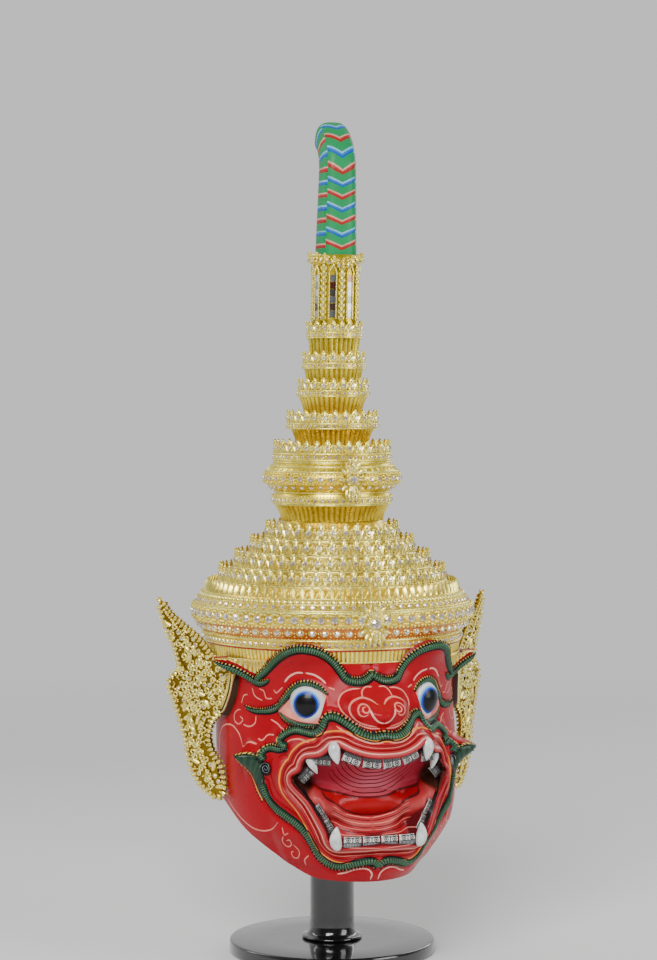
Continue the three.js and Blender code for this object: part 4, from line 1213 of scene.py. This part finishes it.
# Rows of the crown as (kind, radius, height, pitch, size, tilt), from the brim up. Kinds are listed in dressRings.
crownRings = [
    ("roundel", 119.2, 16.4, 6.3, 1.9, 0.0), ("bead", 119.9, 21.6, 3.1, 0.9, 0.0),
    ("stone", 123.9, 27.4, 10.8, 2.8, -0.35), ("bead", 127.2, 32.6, 4.0, 1.4, -0.2),
    ("flower", 128.5, 39.4, 11.8, 3.2, 0.0), ("bead", 127.9, 46.0, 4.0, 0.9, 0.35),
    ("smallStone", 124.0, 50.0, 9.0, 2.1, 0.45), ("scallop", 120.6, 54.6, 5.6, 1.0, 0.5),
    ("hook", 116.6, 56.4, 8.8, 1.12, 0.42),
]

# Rows of the spire, with heights above its own foot.
spireRings = [
    ("smallStone", 55.0, 18.8, 6.4, 1.7, 0.0), ("bead", 55.3, 22.4, 3.0, 0.9, 0.2),
    ("stone", 57.6, 31.4, 9.0, 2.2, -0.5), ("bead", 60.8, 34.0, 3.2, 1.1, -0.2),
    ("flower", 62.6, 38.6, 9.6, 2.25, 0.05), ("bead", 62.4, 43.4, 3.4, 1.2, 0.4),
    ("scale", 59.2, 45.4, 7.4, 0.62, 0.8), ("smallStone", 54.6, 58.2, 6.2, 1.6, 0.0),
    ("leaf", 52.8, 61.8, 9.8, 0.82, 0.12), ("smallStone", 42.5, 86.2, 5.6, 1.45, 0.0),
    ("leaf", 40.8, 88.6, 9.4, 0.84, 0.1), ("smallStone", 33.1, 115.9, 5.2, 1.4, 0.0),
    ("leaf", 31.2, 118.4, 8.8, 0.8, 0.08), ("smallStone", 29.1, 141.1, 5.0, 1.3, 0.0),
    ("leaf", 27.2, 143.6, 8.4, 0.76, 0.05), ("smallStone", 25.5, 169.1, 4.8, 1.25, 0.0),
    ("leaf", 24.0, 171.4, 8.0, 0.76, 0.0),
]


def dressRings(gilt, stones, rings, foot=0.0):
    for kind, radius, height, pitch, size, tilt in rings:
        count = int(round(2 * math.pi * radius / pitch))
        level = foot + height
        if kind == "bead":
            ringStamp(gilt, beadShape, radius, level, count, tilt, size)
        elif kind in ("stone", "smallStone", "roundel"):
            ringStamp(gilt, settingShape, radius, level, count, tilt, size)
            ringStamp(stones, plainStone, radius, level, count, tilt, size)
            if kind == "stone":
                ringStamp(gilt, beadShape, radius - 0.3, level, count, tilt, size * 0.32, 0.5)
                ringStamp(gilt, beadShape, radius - 1.2, level - 3.0, count, tilt, size * 0.3, 0.5)
            if kind == "smallStone":
                ringStamp(gilt, beadShape, radius, level + size * 0.75, count, tilt, size * 0.42, 0.5)
                ringStamp(gilt, beadShape, radius, level - size * 0.75, count, tilt, size * 0.42, 0.5)
        elif kind == "flower":
            ringStamp(gilt, petalFlower, radius, level, count, tilt, size)
            ringStamp(stones, plainStone, radius, level, count, tilt, size * 1.08)
            for shift in (-1.35, 1.35):
                ringStamp(gilt, beadShape, radius + 0.3, level + shift * size, count, tilt, size * 0.4, 0.5)
        elif kind == "scallop":
            ringStamp(gilt, domeShape(2.7, 1.5, 9, 3), radius, level, count, tilt, size)
        elif kind == "hook":
            ringStamp(gilt, hookLeaf, radius, level, count, tilt, size, jitter=0.3)
        elif kind == "scale":
            ringStamp(gilt, hookLeaf, radius, level, count, tilt, size)
        elif kind == "leaf":
            ringStamp(gilt, flameLeaf, radius, level, count, tilt, size, jitter=0.35)
            ringStamp(stones, leafStone, radius, level, count, tilt, size)


# The leaf tiers above the brim, from the lowest one up.
tierForm = {
    "foot": 104.0, "height": 65.8, "inset": 14.4, "rise": 12.7, "count": 4, "leafPitch": 11.2, "lean": 0.16,
}

crownForm = {
    "flutes": {"count": 176, "depth": 1.1, "foot": (116.4, 1.0), "top": (117.8, 10.8)},
    # turned bands as (tone, rows of (radius, height)), for the gilding and for the lacquered grounds
    "bands": [
        (0.4, [(106, 0.35), (115.7, 0.35), (116.2, 1.0)]),
        (0.4, [(118.2, 12.4), (118.9, 13.0), (118.9, 20.0), (119.6, 21.6)]),
        (0.4, [(127.0, 32.6), (128.2, 34.8), (128.7, 39.4), (128.2, 44.4)]),
        (0.4, [(127.2, 46.4), (124.8, 48.4), (122.6, 52.2), (120.6, 53.0)]),
        (0.35, [(120.6, 52.6), (120.2, 56.4), (116.0, 57.8), (110.5, 63.5), (103.0, 66.0)])],
    "grounds": [
        (0.0, [(117.2, 10.6), (118.4, 11.0), (118.7, 11.6), (118.2, 12.4)]),
        (1.0, [(119.4, 21.6), (121.2, 23.4), (124.6, 29.0), (127.0, 32.8)])],
    # hoops as (radius, height, thickness)
    "hoops": [(116.6, 0.9, 0.8), (118.7, 13.0, 0.7), (119.3, 20.4, 0.8), (127.6, 45.4, 1.1), (126.4, 47.2, 0.7),
              (121.6, 52.4, 0.6), (117.4, 56.9, 0.7)],
    "neck": [(59.0, 104.0), (58.5, 113.0), (48.0, 119.4), (47.0, 121.2)],
    # the seat and the inside, seen from below
    "inside": [(106, 0.35), (101, 0.35), (101, 24), (112, 26), (112, 50), (97, 61.5), (58, 99), (29, 112),
               (0.1, 112)],
    "sharpAt": 48,
}


def makeTiers(gilt, stones):
    form = tierForm
    for tier in range(form["count"]):
        radius = form["foot"] - tier * form["inset"]
        height = form["height"] + tier * form["rise"]
        hoop(gilt, radius + 0.6, height, 1.2)
        hoop(gilt, radius - 0.2, height + 1.9, 0.6, tone=0.7)
        # the slope behind the leaves gets a very low tone: painted shade
        lathe(gilt, [(radius + 1, height - 1), (radius - 1.2, height + 2), (radius - 2.0, height + 10),
                     (radius - 13.6, height + 12.4)], tone=0.08)
        count = int(round(2 * math.pi * radius / form["leafPitch"]))
        phase, size, lean = 0.5 * (tier % 2), 1.0 + 0.02 * tier, form["lean"]
        ringStamp(gilt, flameLeaf, radius - 0.4, height + 1.6, count, lean, size, phase, jitter=0.3)
        ringStamp(stones, leafStone, radius - 0.4, height + 1.6, count, lean, size, phase)
        backLeaf = leafShape(4.4, 8.0, 1.2, 0.6, 0.5, rows=5)
        ringStamp(gilt, backLeaf, radius - 1.2, height + 1.2, count, 0.1, 1.0, phase + 0.5)
        ringStamp(gilt, beadShape, radius + 0.7, height + 1.9, count * 3, 0.0, 0.7)


def makeCrown():
    gilt, stones, ground = Heap(), Heap(), Heap()
    form, flutes = crownForm, crownForm["flutes"]
    rows = np.linspace(flutes["foot"], flutes["top"], 6)
    lathe(gilt, rows, flutes["count"] * 6, flutes["count"], flutes["depth"], 0.85)
    for heap, bands in ((gilt, form["bands"]), (ground, form["grounds"])):
        for tone, rows in bands:
            lathe(heap, rows, tone=tone)
    for radius, height, thick in form["hoops"]:
        hoop(gilt, radius, height, thick)
    dressRings(gilt, stones, crownRings)
    # the neck under the tiers gets a low tone: painted shade
    lathe(gilt, form["neck"], 120, tone=0.2)
    makeTiers(gilt, stones)
    # the inside gets a low tone: painted shade
    lathe(gilt, form["inside"], 120, tone=0.15)
    makePiece("giltCrown", gilt, giltFinish("crownGilt", (0.92, 0.66, 0.04), (1.0, 0.94, 0.28)),
              ["crown_tiers"], sharpAt=form["sharpAt"])
    makePiece("crownStones", stones, stoneFinish("crownGlass"), smooth=False)
    finish = Finish("crownGround").set(Metallic=0.35, Coat_Weight=0.4, Coat_Roughness=0.12)
    finish.mottle(finish.mix(finish.attribute("tone"), (0.55, 0.03, 0.012), (0.8, 0.24, 0.025)), 140.0, 0.6)
    finish.rough(200.0, 0.25, 0.5)
    makePiece("crownGroundBands", ground, finish.material)


spireForm = {
    "foot": 121.35,
    # fluted necks: (radius, height) at foot and top, and how many flutes
    "necks": [((47.0, 0.2), (53.4, 14.6), 62), ((33.0, 67.0), (38.4, 83.4), 46), ((26.6, 96.0), (31.4, 112.8), 38),
              ((25.0, 125.0), (27.2, 138.4), 34), ((22.4, 150.0), (24.0, 166.2), 30)],
    # plain ground between the necks as chains of (radius, height)
    "grounds": [[(53.4, 14.6), (55.0, 16.3), (54.6, 21.4), (52.3, 24.4), (52.6, 27.2), (59.6, 32.0), (62.6, 36.0),
                 (62.8, 41.0), (60.4, 45.0), (53.2, 53.2), (54.3, 55.4), (54.3, 61.4), (44, 63.5), (33.0, 67.2)],
                [(38.4, 83.4), (42.3, 84.2), (42.3, 88.2), (33.5, 90.5), (26.8, 96.2)],
                [(31.4, 112.8), (33.0, 113.7), (33.0, 118.0), (27.0, 120.0), (25.0, 125.2)],
                [(27.2, 138.4), (29.0, 139.2), (29.0, 143.0), (24.0, 145.0), (22.4, 150.2)],
                [(24.0, 166.2), (25.4, 167.2), (25.4, 171.0), (22.0, 173.0), (21.6, 178.5)]],
    "hoops": [(53.6, 15.0, 0.9), (54.8, 16.2, 0.6), (54.8, 21.2, 0.7), (53.0, 26.0, 0.8), (61.2, 45.0, 0.9),
              (57.0, 49.6, 0.9), (53.6, 53.2, 1.0), (54.2, 55.6, 0.8), (54.2, 61.2, 0.8), (34.0, 67.4, 1.0),
              (42.0, 84.0, 0.7), (42.0, 88.4, 0.7), (27.6, 96.4, 0.9), (32.8, 113.4, 0.6), (32.8, 118.2, 0.6),
              (25.6, 125.4, 0.8), (28.8, 138.9, 0.6), (28.8, 143.3, 0.6), (23.0, 150.4, 0.8), (25.2, 166.8, 0.6),
              (25.2, 171.3, 0.6)],
    "columnFrom": 176.0, "columnTo": 236.0, "columnRadius": 20.9, "squareness": 0.07,
    "strips": 8, "stripHalf": 0.115, "panes": 6, "paneGap": 0.25, "archRise": 7.0, "neckDepth": 1.5, "sharpAt": 48,
    # rings of the collar as (radius, height, count, size), and how far it dips in front and behind
    "collar": [(24.0, -2.6, 34, 1.5), (24.6, 0.0, 30, 1.9), (24.0, 2.8, 34, 1.5)], "collarAt": 238.0,
    "collarDip": 6.0, "collarDipWidth": 0.62, "collarRise": 1.5,
    "collarGround": [(20.8, 233), (23.2, 236), (23.6, 240), (20.6, 242.4), (18.6, 240)],
}


def squared(angle):
    return 1 + spireForm["squareness"] * (np.abs(np.sin(2 * angle)) - 0.5)


def collarDip(turn):
    # The collar comes to a point in front and behind.
    fromPoint = np.mod(turn + math.pi / 2, math.pi) - math.pi / 2
    return spireForm["collarRise"] - spireForm["collarDip"] * bump(fromPoint, spireForm["collarDipWidth"])


def makeColumn(gilt, stones, mirrors):
    # The squarish column, with mirror strips between columns of leaf work.
    form = spireForm
    low, high, radius = form["foot"] + form["columnFrom"], form["foot"] + form["columnTo"], form["columnRadius"]

    def onColumn(proud, turn, level):
        return onCrown((radius + proud) * squared(turn), turn, level)

    def stud(heap, shape, proud, turn, level, size):
        turn, level = np.broadcast_arrays(turn, level)
        right, out = facing(turn)
        stamp(heap, shape, onColumn(proud, turn, level), right, out, np.broadcast_to(upwards, right.shape), size)

    core = onColumn(0.0, around(96)[None, :], np.linspace(low, high, 12)[:, None])
    # the core behind the strips and leaves gets a low tone: painted shade
    gilt.add(core * mm, gridFaces(12, 96, closed=True), 0.1)
    step, half = 2 * math.pi / form["strips"], form["stripHalf"]
    for k in range(form["strips"]):
        middle = (k + 0.5) * step
        span = middle + half * np.linspace(-1, 1, 4)[None, :]
        panes = np.linspace(low + 9, high - 12, form["panes"] + 1)
        for i, (a, b) in enumerate(zip(panes[:-1], panes[1:])):
            level = np.linspace(a + form["paneGap"], b - form["paneGap"], 3)[:, None]
            mirrors.add(onColumn(0.7, span, level) * mm, gridFaces(3, 4), (i * 0.37 + k * 0.21) % 1.0)
        for side in (-1, 1):
            stud(gilt, beadShape, 0.6, middle + side * (half + 0.035), np.linspace(low + 8, high - 11, 32), 0.85)
        # a pointed arch over each strip
        arch = np.linspace(-1, 1, 13)
        level = high - 11 + form["archRise"] * (1 - np.abs(arch) ** 1.6)
        stud(gilt, beadShape, 0.9, middle + (half + 0.05) * arch, level, 1.15)
        level = np.linspace(low + 6, high - 9, 9)
        stud(gilt, flameLeaf, 0.4, k * step, level, 0.5)
        stud(stones, moved(stoneShape(1.9, 1.4), 0, 1.5, 5.6), 0.4, k * step, level, 0.52)


def makeSpire():
    gilt, stones, mirrors = Heap(), Heap(), Heap()
    form, foot = spireForm, spireForm["foot"]
    for (r0, h0), (r1, h1), flutes in form["necks"]:
        rows = [(r0 + (r1 - r0) * s ** 1.6, foot + h0 + (h1 - h0) * s) for s in np.linspace(0, 1, 7)]
        lathe(gilt, rows, flutes * 6, flutes, form["neckDepth"], 0.6)
    # the grounds between the necks get a lowered tone: painted shade
    for chain in form["grounds"]:
        lathe(gilt, [(r, foot + h) for r, h in chain], 120, tone=0.35)
    for radius, height, thick in form["hoops"]:
        hoop(gilt, radius, foot + height, thick, 84)
    dressRings(gilt, stones, spireRings, foot)
    makeColumn(gilt, stones, mirrors)
    top = foot + form["collarAt"]
    for radius, rise, count, size in form["collar"]:
        ringStamp(gilt, beadShape, radius, top + rise, count, -0.2, size, dip=collarDip)
    ringStamp(gilt, flameLeaf, 22.8, top - 0.5, 18, -0.35, 0.5, dip=collarDip)
    ringStamp(stones, plainStone, 25.4, top - 1.6, 18, -0.2, 1.5, 0.5, dip=collarDip)
    # the collar's ground and the foot's cap get low tones: painted shade
    lathe(gilt, [(r, foot + h) for r, h in form["collarGround"]], 96, tone=0.25)
    lathe(gilt, [(47.4, foot + 0.2), (0.1, foot + 0.2)], 96, tone=0.1)
    makePiece("giltSpire", gilt, giltFinish("spireGilt", (0.94, 0.7, 0.03), (1.0, 0.93, 0.24)),
              ["crown_spire"], sharpAt=form["sharpAt"])
    makePiece("spireStones", stones, stoneFinish("spireGlass"), smooth=False)
    finish = Finish("mirrorStrip").set(Metallic=0.9)
    finish.colour(finish.ramp(finish.attribute("tone"), [
        (0.0, (0.32, 0.34, 0.36)), (0.4, (0.5, 0.52, 0.54)), (0.62, (0.12, 0.09, 0.08)),
        (0.75, (0.2, 0.24, 0.22)), (0.9, (0.26, 0.07, 0.05))]))
    finish.rough(120.0, 0.08, 0.22)
    makePiece("mirrorStrips", mirrors, finish.material, smooth=False)


makeCrown()
makeSpire()


# The upright plaques in the middle of the brim and of the bulge.
plaques = {
    "crown_plaque": {"title": "brimPlaque", "radius": 130.2, "height": 36.0, "half": (12.4, 19.4), "stone": 4.2},
    "spire_plaque": {"title": "bulgePlaque", "radius": 65.4, "height": 159.9, "half": (9.0, 20.0), "stone": 3.2},
}


def makePlaques():
    gilt, glass = giltFinish("plaqueGilt", (0.92, 0.66, 0.05), (1.0, 0.94, 0.32)), stoneFinish("plaqueGlass")
    for name, form in plaques.items():
        wide, tall = form["half"]

        def oval(turn, share, tallShare=None):
            return wide * share * math.sin(turn), tall * (tallShare or share) * math.cos(turn)

        plate, faces, tone = domeShape(1.0, 1.0, 32, 6)
        # the backing plate's tone is scaled down: painted shade behind the scrolls
        scrolls = [(plate * np.array([wide * 0.86, 3.4, tall * 0.86]) + np.array([0, -3.0, 0]), faces, tone * 0.3)]
        for turn in around(16):
            x, z = oval(turn, 0.66)
            scrolls.append(moved(leafShape(5.0, 7.2, 1.5, 0.8, rows=6), x, -1.8, z, math.atan2(x, z)))
            scrolls.append(moved(domeShape(0.9, 1.1, 7, 2), x * 1.42, -1.2, z * 1.42))
        for turn in around(10):
            x, z = oval(turn, 0.45, 0.42)
            scrolls.append(moved(curlShape(2.0, 0.75, hand=1 if turn < math.pi else -1), x, -0.2, z, turn))
        for way, turn in ((1, 0), (-1, math.pi)):
            scrolls.append(moved(flameLeaf, 0, 0.2, way * tall * 0.28, turn, 0.72))
        scrolls.append(moved(petalFlower, 0, 0.8, 0, 0, form["stone"]))
        gems = [moved(stoneShape(form["stone"] * 1.1, 3.0), 0, 0.9, 0)]
        for turn in around(6, 0.4):
            x, z = oval(turn, 0.62, 0.55)
            gems.append(moved(stoneShape(1.3, 1.0), x, 0.3, z))
        heap, stones = Heap(), Heap()
        right, out = facing(np.zeros(1))
        for target, shapes in ((heap, scrolls), (stones, gems)):
            stamp(target, together(*shapes), onCrown(form["radius"], np.zeros(1), form["height"]), right, out,
                  upwards[None])
        title = form["title"]
        makePiece(title, heap, gilt, [name])
        makePiece(title + "Stones", stones, glass, smooth=False)


# The ear ornament in its own plane as (outwards, height); its plane turns back from the cheek.
earForm = {
    "outline": [(71.7, 47), (63.2, 24), (54.7, 9), (50.5, -5), (48.4, -13), (60.5, -26), (55.8, -39),
                (49.4, -55), (43, -73), (38.8, -93), (30.3, -111), (15.4, -123.4), (6.9, -125), (3.8, -116),
                (7, -100), (16.5, -87), (20.7, -73), (16.5, -57), (0, -44), (-9, -40), (-9, -11), (5.9, -5),
                (15.4, -1), (29, 13), (44, 23), (62.2, 35.5)],
    "middle": (25.0, -45.0),
    "hingeAcross": 108.0, "hingeForward": 28.0, "sweep": 48.0, "thickness": 6.5, "plateHalf": 1.2, "inset": 1.6,
    "curlPitch": 6.2, "curlRows": 0.82, "curlMargin": 2.4, "curlShift": 0.8,
    # lines of beads from the root outwards as (radius, pitch, knots)
    "spines": [(1.5, 3.0, [(2, -24), (14, -18), (26, -2), (40, 12), (54, 27), (66, 40)]),
               (1.4, 2.8, [(20, -52), (32, -48), (44, -38), (56, -30)]),
               (1.5, 3.0, [(22, -58), (28, -74), (26, -92), (18, -106), (12, -116)])],
}


def earFrame(side, spots, lift):
    turn = math.radians(earForm["sweep"])
    out, up = spots[:, 0], spots[:, 1]
    x = earForm["hingeAcross"] + out * math.cos(turn) + lift * math.sin(turn)
    y = -earForm["hingeForward"] + out * math.sin(turn) - lift * math.cos(turn)
    return np.stack([side * x, y, places["seat"] + up], -1)


def makeEars():
    form = earForm
    outline = np.array(form["outline"], float)
    border = smoothPath(outline, 4.6, closed=True)[:-1]
    along = np.roll(border, -1, 0) - np.roll(border, 1, 0)
    along /= np.hypot(*along.T)[:, None]
    normal = np.stack([along[:, 1], -along[:, 0]], -1)
    if insideLine(outline, border[:1, 0] + normal[:1, 0], border[:1, 1] + normal[:1, 1])[0]:
        normal = -normal
    # places for curls inside the outline, on a staggered net
    step = form["curlPitch"]
    rows = np.arange(-128, 50, step * form["curlRows"])
    net = np.array([(x + step / 2 * (row % 2), y) for row, y in enumerate(rows) for x in np.arange(-14, 80, step)])
    away = distanceTo(np.vstack([border, border[:1]]), net[:, 0], net[:, 1])
    inside = net[insideLine(outline, net[:, 0], net[:, 1]) & (away > form["curlMargin"])]
    inside = inside + generator.uniform(-form["curlShift"], form["curlShift"], inside.shape)
    kind = generator.integers(0, 10, len(inside))
    spin = generator.uniform(0, 2 * math.pi, len(inside))
    lean = np.stack([np.sin(spin), np.cos(spin)], -1)
    heading = 0.6 * np.array([0.35, 0.94]) + 0.8 * lean
    heading /= np.hypot(*heading.T)[:, None]
    half, turn = form["thickness"] / 2, math.radians(form["sweep"])
    # the pierced ground plate, set back, its tone kept very low: painted shade, amber to dark, behind the curls
    inner = border - normal * form["inset"]
    count = len(inner)
    fan = np.vstack([inner, form["middle"]])
    slices = np.array([[k, (k + 1) % count, count] for k in range(count)])
    slices = slices[insideLine(outline, *fan[slices].mean(1).T)]
    flame = together(leafShape(4.6, 5.4, 1.6, 0.3, 0.6, rows=6), moved(domeShape(1.0, 1.1, 7, 2), 0, 0.9, 4.6),
                     moved(curlShape(1.5, 0.6), 0.2, 0.9, 0.6))
    smallBead = domeShape(0.8, 1.0, 7, 2)
    beads = together(moved(domeShape(1.1, 1.3, 7, 2), 0, 0.4, 0), moved(smallBead, 1.7, 0.2, 0.9),
                     moved(smallBead, -1.5, 0.2, 1.2))
    leaves, clusters, gems = (kind == 5) | (kind == 6), kind == 7, kind > 7
    gilt, glass = giltFinish("earGilt", (0.66, 0.42, 0.025), (1.0, 0.92, 0.3)), stoneFinish("earGlass")
    for side, name in ((-1, "left"), (1, "right")):
        heap, stones = Heap(), Heap()
        outwards = np.array([side * math.cos(turn), math.sin(turn), 0.0])
        for face in (1, -1):
            heap.add(earFrame(side, fan, face * form["plateHalf"]) * mm, slices, 0.05)
        walls = np.concatenate([earFrame(side, inner, face * form["plateHalf"]) for face in (1, -1)])
        heap.add(walls * mm, gridFaces(2, count, closed=True), 0.2)
        for face in (1, -1):
            lift = face * np.array([side * math.sin(turn), -math.cos(turn), 0.0])

            def place(shape, spots, headings, sunk, target=heap):
                # headings: which way the shape's top points, in the plate's plane
                ups = headings[:, :1] * outwards + headings[:, 1:] * upwards
                rights = headings[:, 1:] * outwards - headings[:, :1] * upwards
                spots = earFrame(side, spots, face * (half - sunk))
                stamp(target, shape, spots, rights, np.tile(lift, (len(spots), 1)), ups)

            # flames along the edge, each with a bead at its tip
            place(flame, border - normal * 4.0, normal, 2.2)
            for rest, hand in ((0, 1), (1, -1)):
                curls = (kind < 5) & (kind % 2 == rest)
                place(curlShape(3.3, 1.25, 1.2, 13, 5, hand, 1.2), inside[curls], lean[curls], 2.4)
            place(leafShape(5.6, 10.0, 2.2, 1.4, 0.5), inside[leaves], heading[leaves], 2.2)
            place(beads, inside[clusters], lean[clusters], 1.6)
            place(ringShape(1.9, 0.5, 12, 4), inside[gems], lean[gems], 1.7)
            place(stoneShape(1.7, 1.4), inside[gems], lean[gems], 1.7, stones)
            for radius, pitch, knots in form["spines"]:
                spine = smoothPath(knots, pitch)
                place(domeShape(radius, radius + 0.1, 8, 2), spine, np.tile([0, 1.0], (len(spine), 1)), 0.9)
        makePiece("earOrnament_" + name, heap, gilt, ["ear_ornament_" + name])
        makePiece("earStones_" + name, stones, glass, smooth=False)


# The ribbed gilt channel on the cheek beside each ear, on its black ground.
rimForm = {
    "path": [(150, -12, 0.7), (152, -20, 1.0), (156, -30, 1.1), (162, -40, 1.1), (169, -47, 1.1), (177, -46, 1.0),
             (181, -37, 0.9), (182, -26, 0.8)],
    "halfWidth": 6.2, "rise": 6.0, "plain": 900,
    # rails as (distance from the middle, half width, rise, pitch of the ribs)
    "rails": [(-2.6, 0.7, 6.8, 900), (1.2, 0.6, 7.2, 900), (4.6, 1.4, 7.0, 2.2)],
}


def makeEarRims():
    gilt, ground = Heap(), Heap()
    form = rimForm
    for hand, line in zip((1, -1), bothSides(form["path"])):
        points, faces, _, (course, normal) = sweptBand(
            line, form["halfWidth"], form["rise"], form["plain"], 0.0, 0.8)
        ground.add(points, faces, 0.5, paints["bronze"])
        course, normal = course[::8, :2], normal[::8]
        for shift, half, rise, pitch in form["rails"]:
            rail = np.column_stack([course + hand * shift * normal, np.ones(len(course))])
            points, faces, tone, _ = sweptBand(rail, half, rise, pitch, 0.7, 0.5, 7)
            # the rails' tone: painted shade in the rib grooves and at their sides, a painted highlight on the ridges
            gilt.add(points, faces, tone)
    makePiece("earRims", gilt, giltFinish("rimGilt", (0.7, 0.42, 0.03), (1.0, 0.88, 0.3)))
    makePiece("earRimGrounds", ground, lacquerFinish("rimBlack", 0.12, 0.3, 0.1))


tailForm = {
    "foot": 240.85, "girthFoot": 19.0, "girthBend": 17.0, "girthEnd": 16.0, "straight": 77.5, "bendRadius": 36.0,
    "bendAngle": 1.2, "squareness": 0.05, "columns": 168, "rowPitch": 0.6, "bendRows": 90,
    "endRings": (0.985, 0.8, 0.5, 0.2, 0.001),
    # chevron bands: a V over the front and the back, a step down at its sides
    "bandPitch": 11.5, "firstBand": 7.5, "bandTall": 3.2, "edgeTall": 1.1, "chevronHalf": 46, "chevronDrop": 2.2,
    "chevronRise": 6.2,
}
tailPaints = {
    "green": (0.012, 0.27, 0.085), "blue": (0.006, 0.05, 0.36), "blueTop": (0.03, 0.22, 0.6),
    "blueEdge": (0.25, 0.6, 0.85), "red": (0.26, 0.01, 0.012), "redTop": (0.5, 0.05, 0.04),
    "redEdge": (0.75, 0.38, 0.3),
}


def tailTint(angle, s):
    form, pick = tailForm, {key: np.array(value) for key, value in tailPaints.items()}
    turned = np.degrees(np.abs(np.mod(angle + math.pi / 2, math.pi) - math.pi / 2))
    chevron = form["chevronRise"] * turned / form["chevronHalf"] - form["chevronDrop"]
    place = s - form["firstBand"] - np.where(turned < form["chevronHalf"], chevron, 0.0)
    number = np.floor(place / form["bandPitch"])
    within = place - number * form["bandPitch"]
    isBand = (within < form["bandTall"]) & (number >= 0)
    isEdge = ~isBand & (within < form["bandTall"] + form["edgeTall"]) & (number >= 0)
    isBlue = (np.mod(number, 2) == 1)[..., None]
    shade = np.clip(within / form["bandTall"], 0, 1)[..., None]
    blue, red = (pick[name] + (pick[name + "Top"] - pick[name]) * shade for name in ("blue", "red"))
    tint = np.where(isBand[..., None], np.where(isBlue, blue, red), pick["green"])
    return np.where(isEdge[..., None], np.where(isBlue, pick["blueEdge"], pick["redEdge"]), tint)


def makeTail():
    form, columns, straight = tailForm, tailForm["columns"], tailForm["straight"]
    angle = around(columns)[None, :]
    bend = np.linspace(0, form["bendRadius"] * form["bendAngle"], form["bendRows"])
    s = np.concatenate([np.arange(0, straight, form["rowPitch"]), straight + bend])[:, None]
    rising = np.minimum(s / straight, 1)
    turn = np.maximum(0, s - straight) / form["bendRadius"]
    girth = form["girthFoot"] + (form["girthBend"] - form["girthFoot"]) * rising
    girth = girth + (form["girthEnd"] - form["girthBend"]) * turn / form["bendAngle"]

    def spots(girth, turn, straight):
        radius = girth * (1 - form["squareness"] * np.cos(4 * angle))
        outward = radius * np.cos(angle)
        back = form["bendRadius"] * (1 - np.cos(turn)) - outward * np.cos(turn)
        height = spireForm["foot"] + form["foot"] + straight + (form["bendRadius"] + outward) * np.sin(turn)
        sideways = radius * np.sin(angle) + leanOf(height)
        return np.stack([sideways, back + 0 * height, places["seat"] + height], -1) * mm

    # the foot's disc, the tail, and its rounded end
    rings = [spots(girth[:1] * 0.01, turn[:1], 0.0), spots(girth, turn, straight * rising)]
    rings += [spots(girth[-1:] * share, turn[-1:], straight) for share in form["endRings"]]
    tint = tailTint(angle, s)
    plain = np.broadcast_to(np.array(tailPaints["green"]), (len(form["endRings"]), columns, 3))
    heap = Heap()
    body = np.concatenate(rings[1:])
    heap.add(body, gridFaces(len(body), columns, closed=True), 0.5, np.concatenate([tint, plain]).reshape(-1, 3))
    heap.add(np.concatenate([rings[0], body[:1]]), gridFaces(2, columns, closed=True), 0.5, tailPaints["green"])
    makePiece("paintedTail", heap, lacquerFinish("tailPaint", 0.35, 0.55, 0.14), ["finial"])


standForm = {
    # chains of (radius, height above the ground)
    "stand_base": [(0.1, 0.0), (92.5, 0.0), (93.6, 0.3), (94.6, 1.0), (95.0, 2.0), (95.0, 9.6), (94.6, 11.0),
                   (93.8, 11.7), (92.6, 12.0), (60.0, 12.0), (27.0, 12.0), (0.1, 12.0)],
    "stand_post": [(0.1, 12.35), (25.4, 12.35), (27.2, 12.6), (27.9, 13.4), (27.9, 14.2), (27.2, 15.0), (25.4, 15.4),
                   (23.6, 15.8), (22.2, 17.6), (21.2, 20.4), (20.6, 24.0), (20.5, 30.0), (20.5, 150.0), (20.5, 287.0),
                   (24.0, 294.0), (36.0, 311.0), (43.0, 317.0), (45.8, 321.0), (45.0, 326.5), (40.0, 332.4),
                   (28.0, 337.4), (12.0, 339.6), (0.1, 340.2)],
}
standLook = {"columns": 128, "sharpAt": 60}


def makeStand():
    finish = Finish("standLacquer").set(Coat_Weight=0.8, Coat_Roughness=0.04, Specular_IOR_Level=0.5)
    finish.colour(finish.ramp(finish.noise(24.0, 4.0), [
        (0.3, (0.004, 0.004, 0.005)), (0.7, (0.012, 0.011, 0.011))]))
    smears = finish.ramp(finish.noise(160.0, 5.0), [(0.35, 0.1), (0.62, 0.2), (0.75, 0.34)])
    finish.join(smears, finish.shader.inputs["Roughness"])
    finish.bump(30.0, 0.15, 0.2, 2.0)
    columns = standLook["columns"]
    angle = around(columns)[None, :]
    for name, node in (("standBase", "stand_base"), ("standPost", "stand_post")):
        heap = Heap()
        rows = np.array(standForm[node])
        points = np.stack([rows[:, :1] * np.sin(angle), -rows[:, :1] * np.cos(angle), rows[:, 1:] + 0 * angle], -1)
        heap.add(points * mm, gridFaces(len(rows), columns, closed=True), 0.5)
        makePiece(name, heap, finish.material, [node], sharpAt=standLook["sharpAt"])


makePlaques()
makeEars()
makeEarRims()
makeTail()
makeStand()
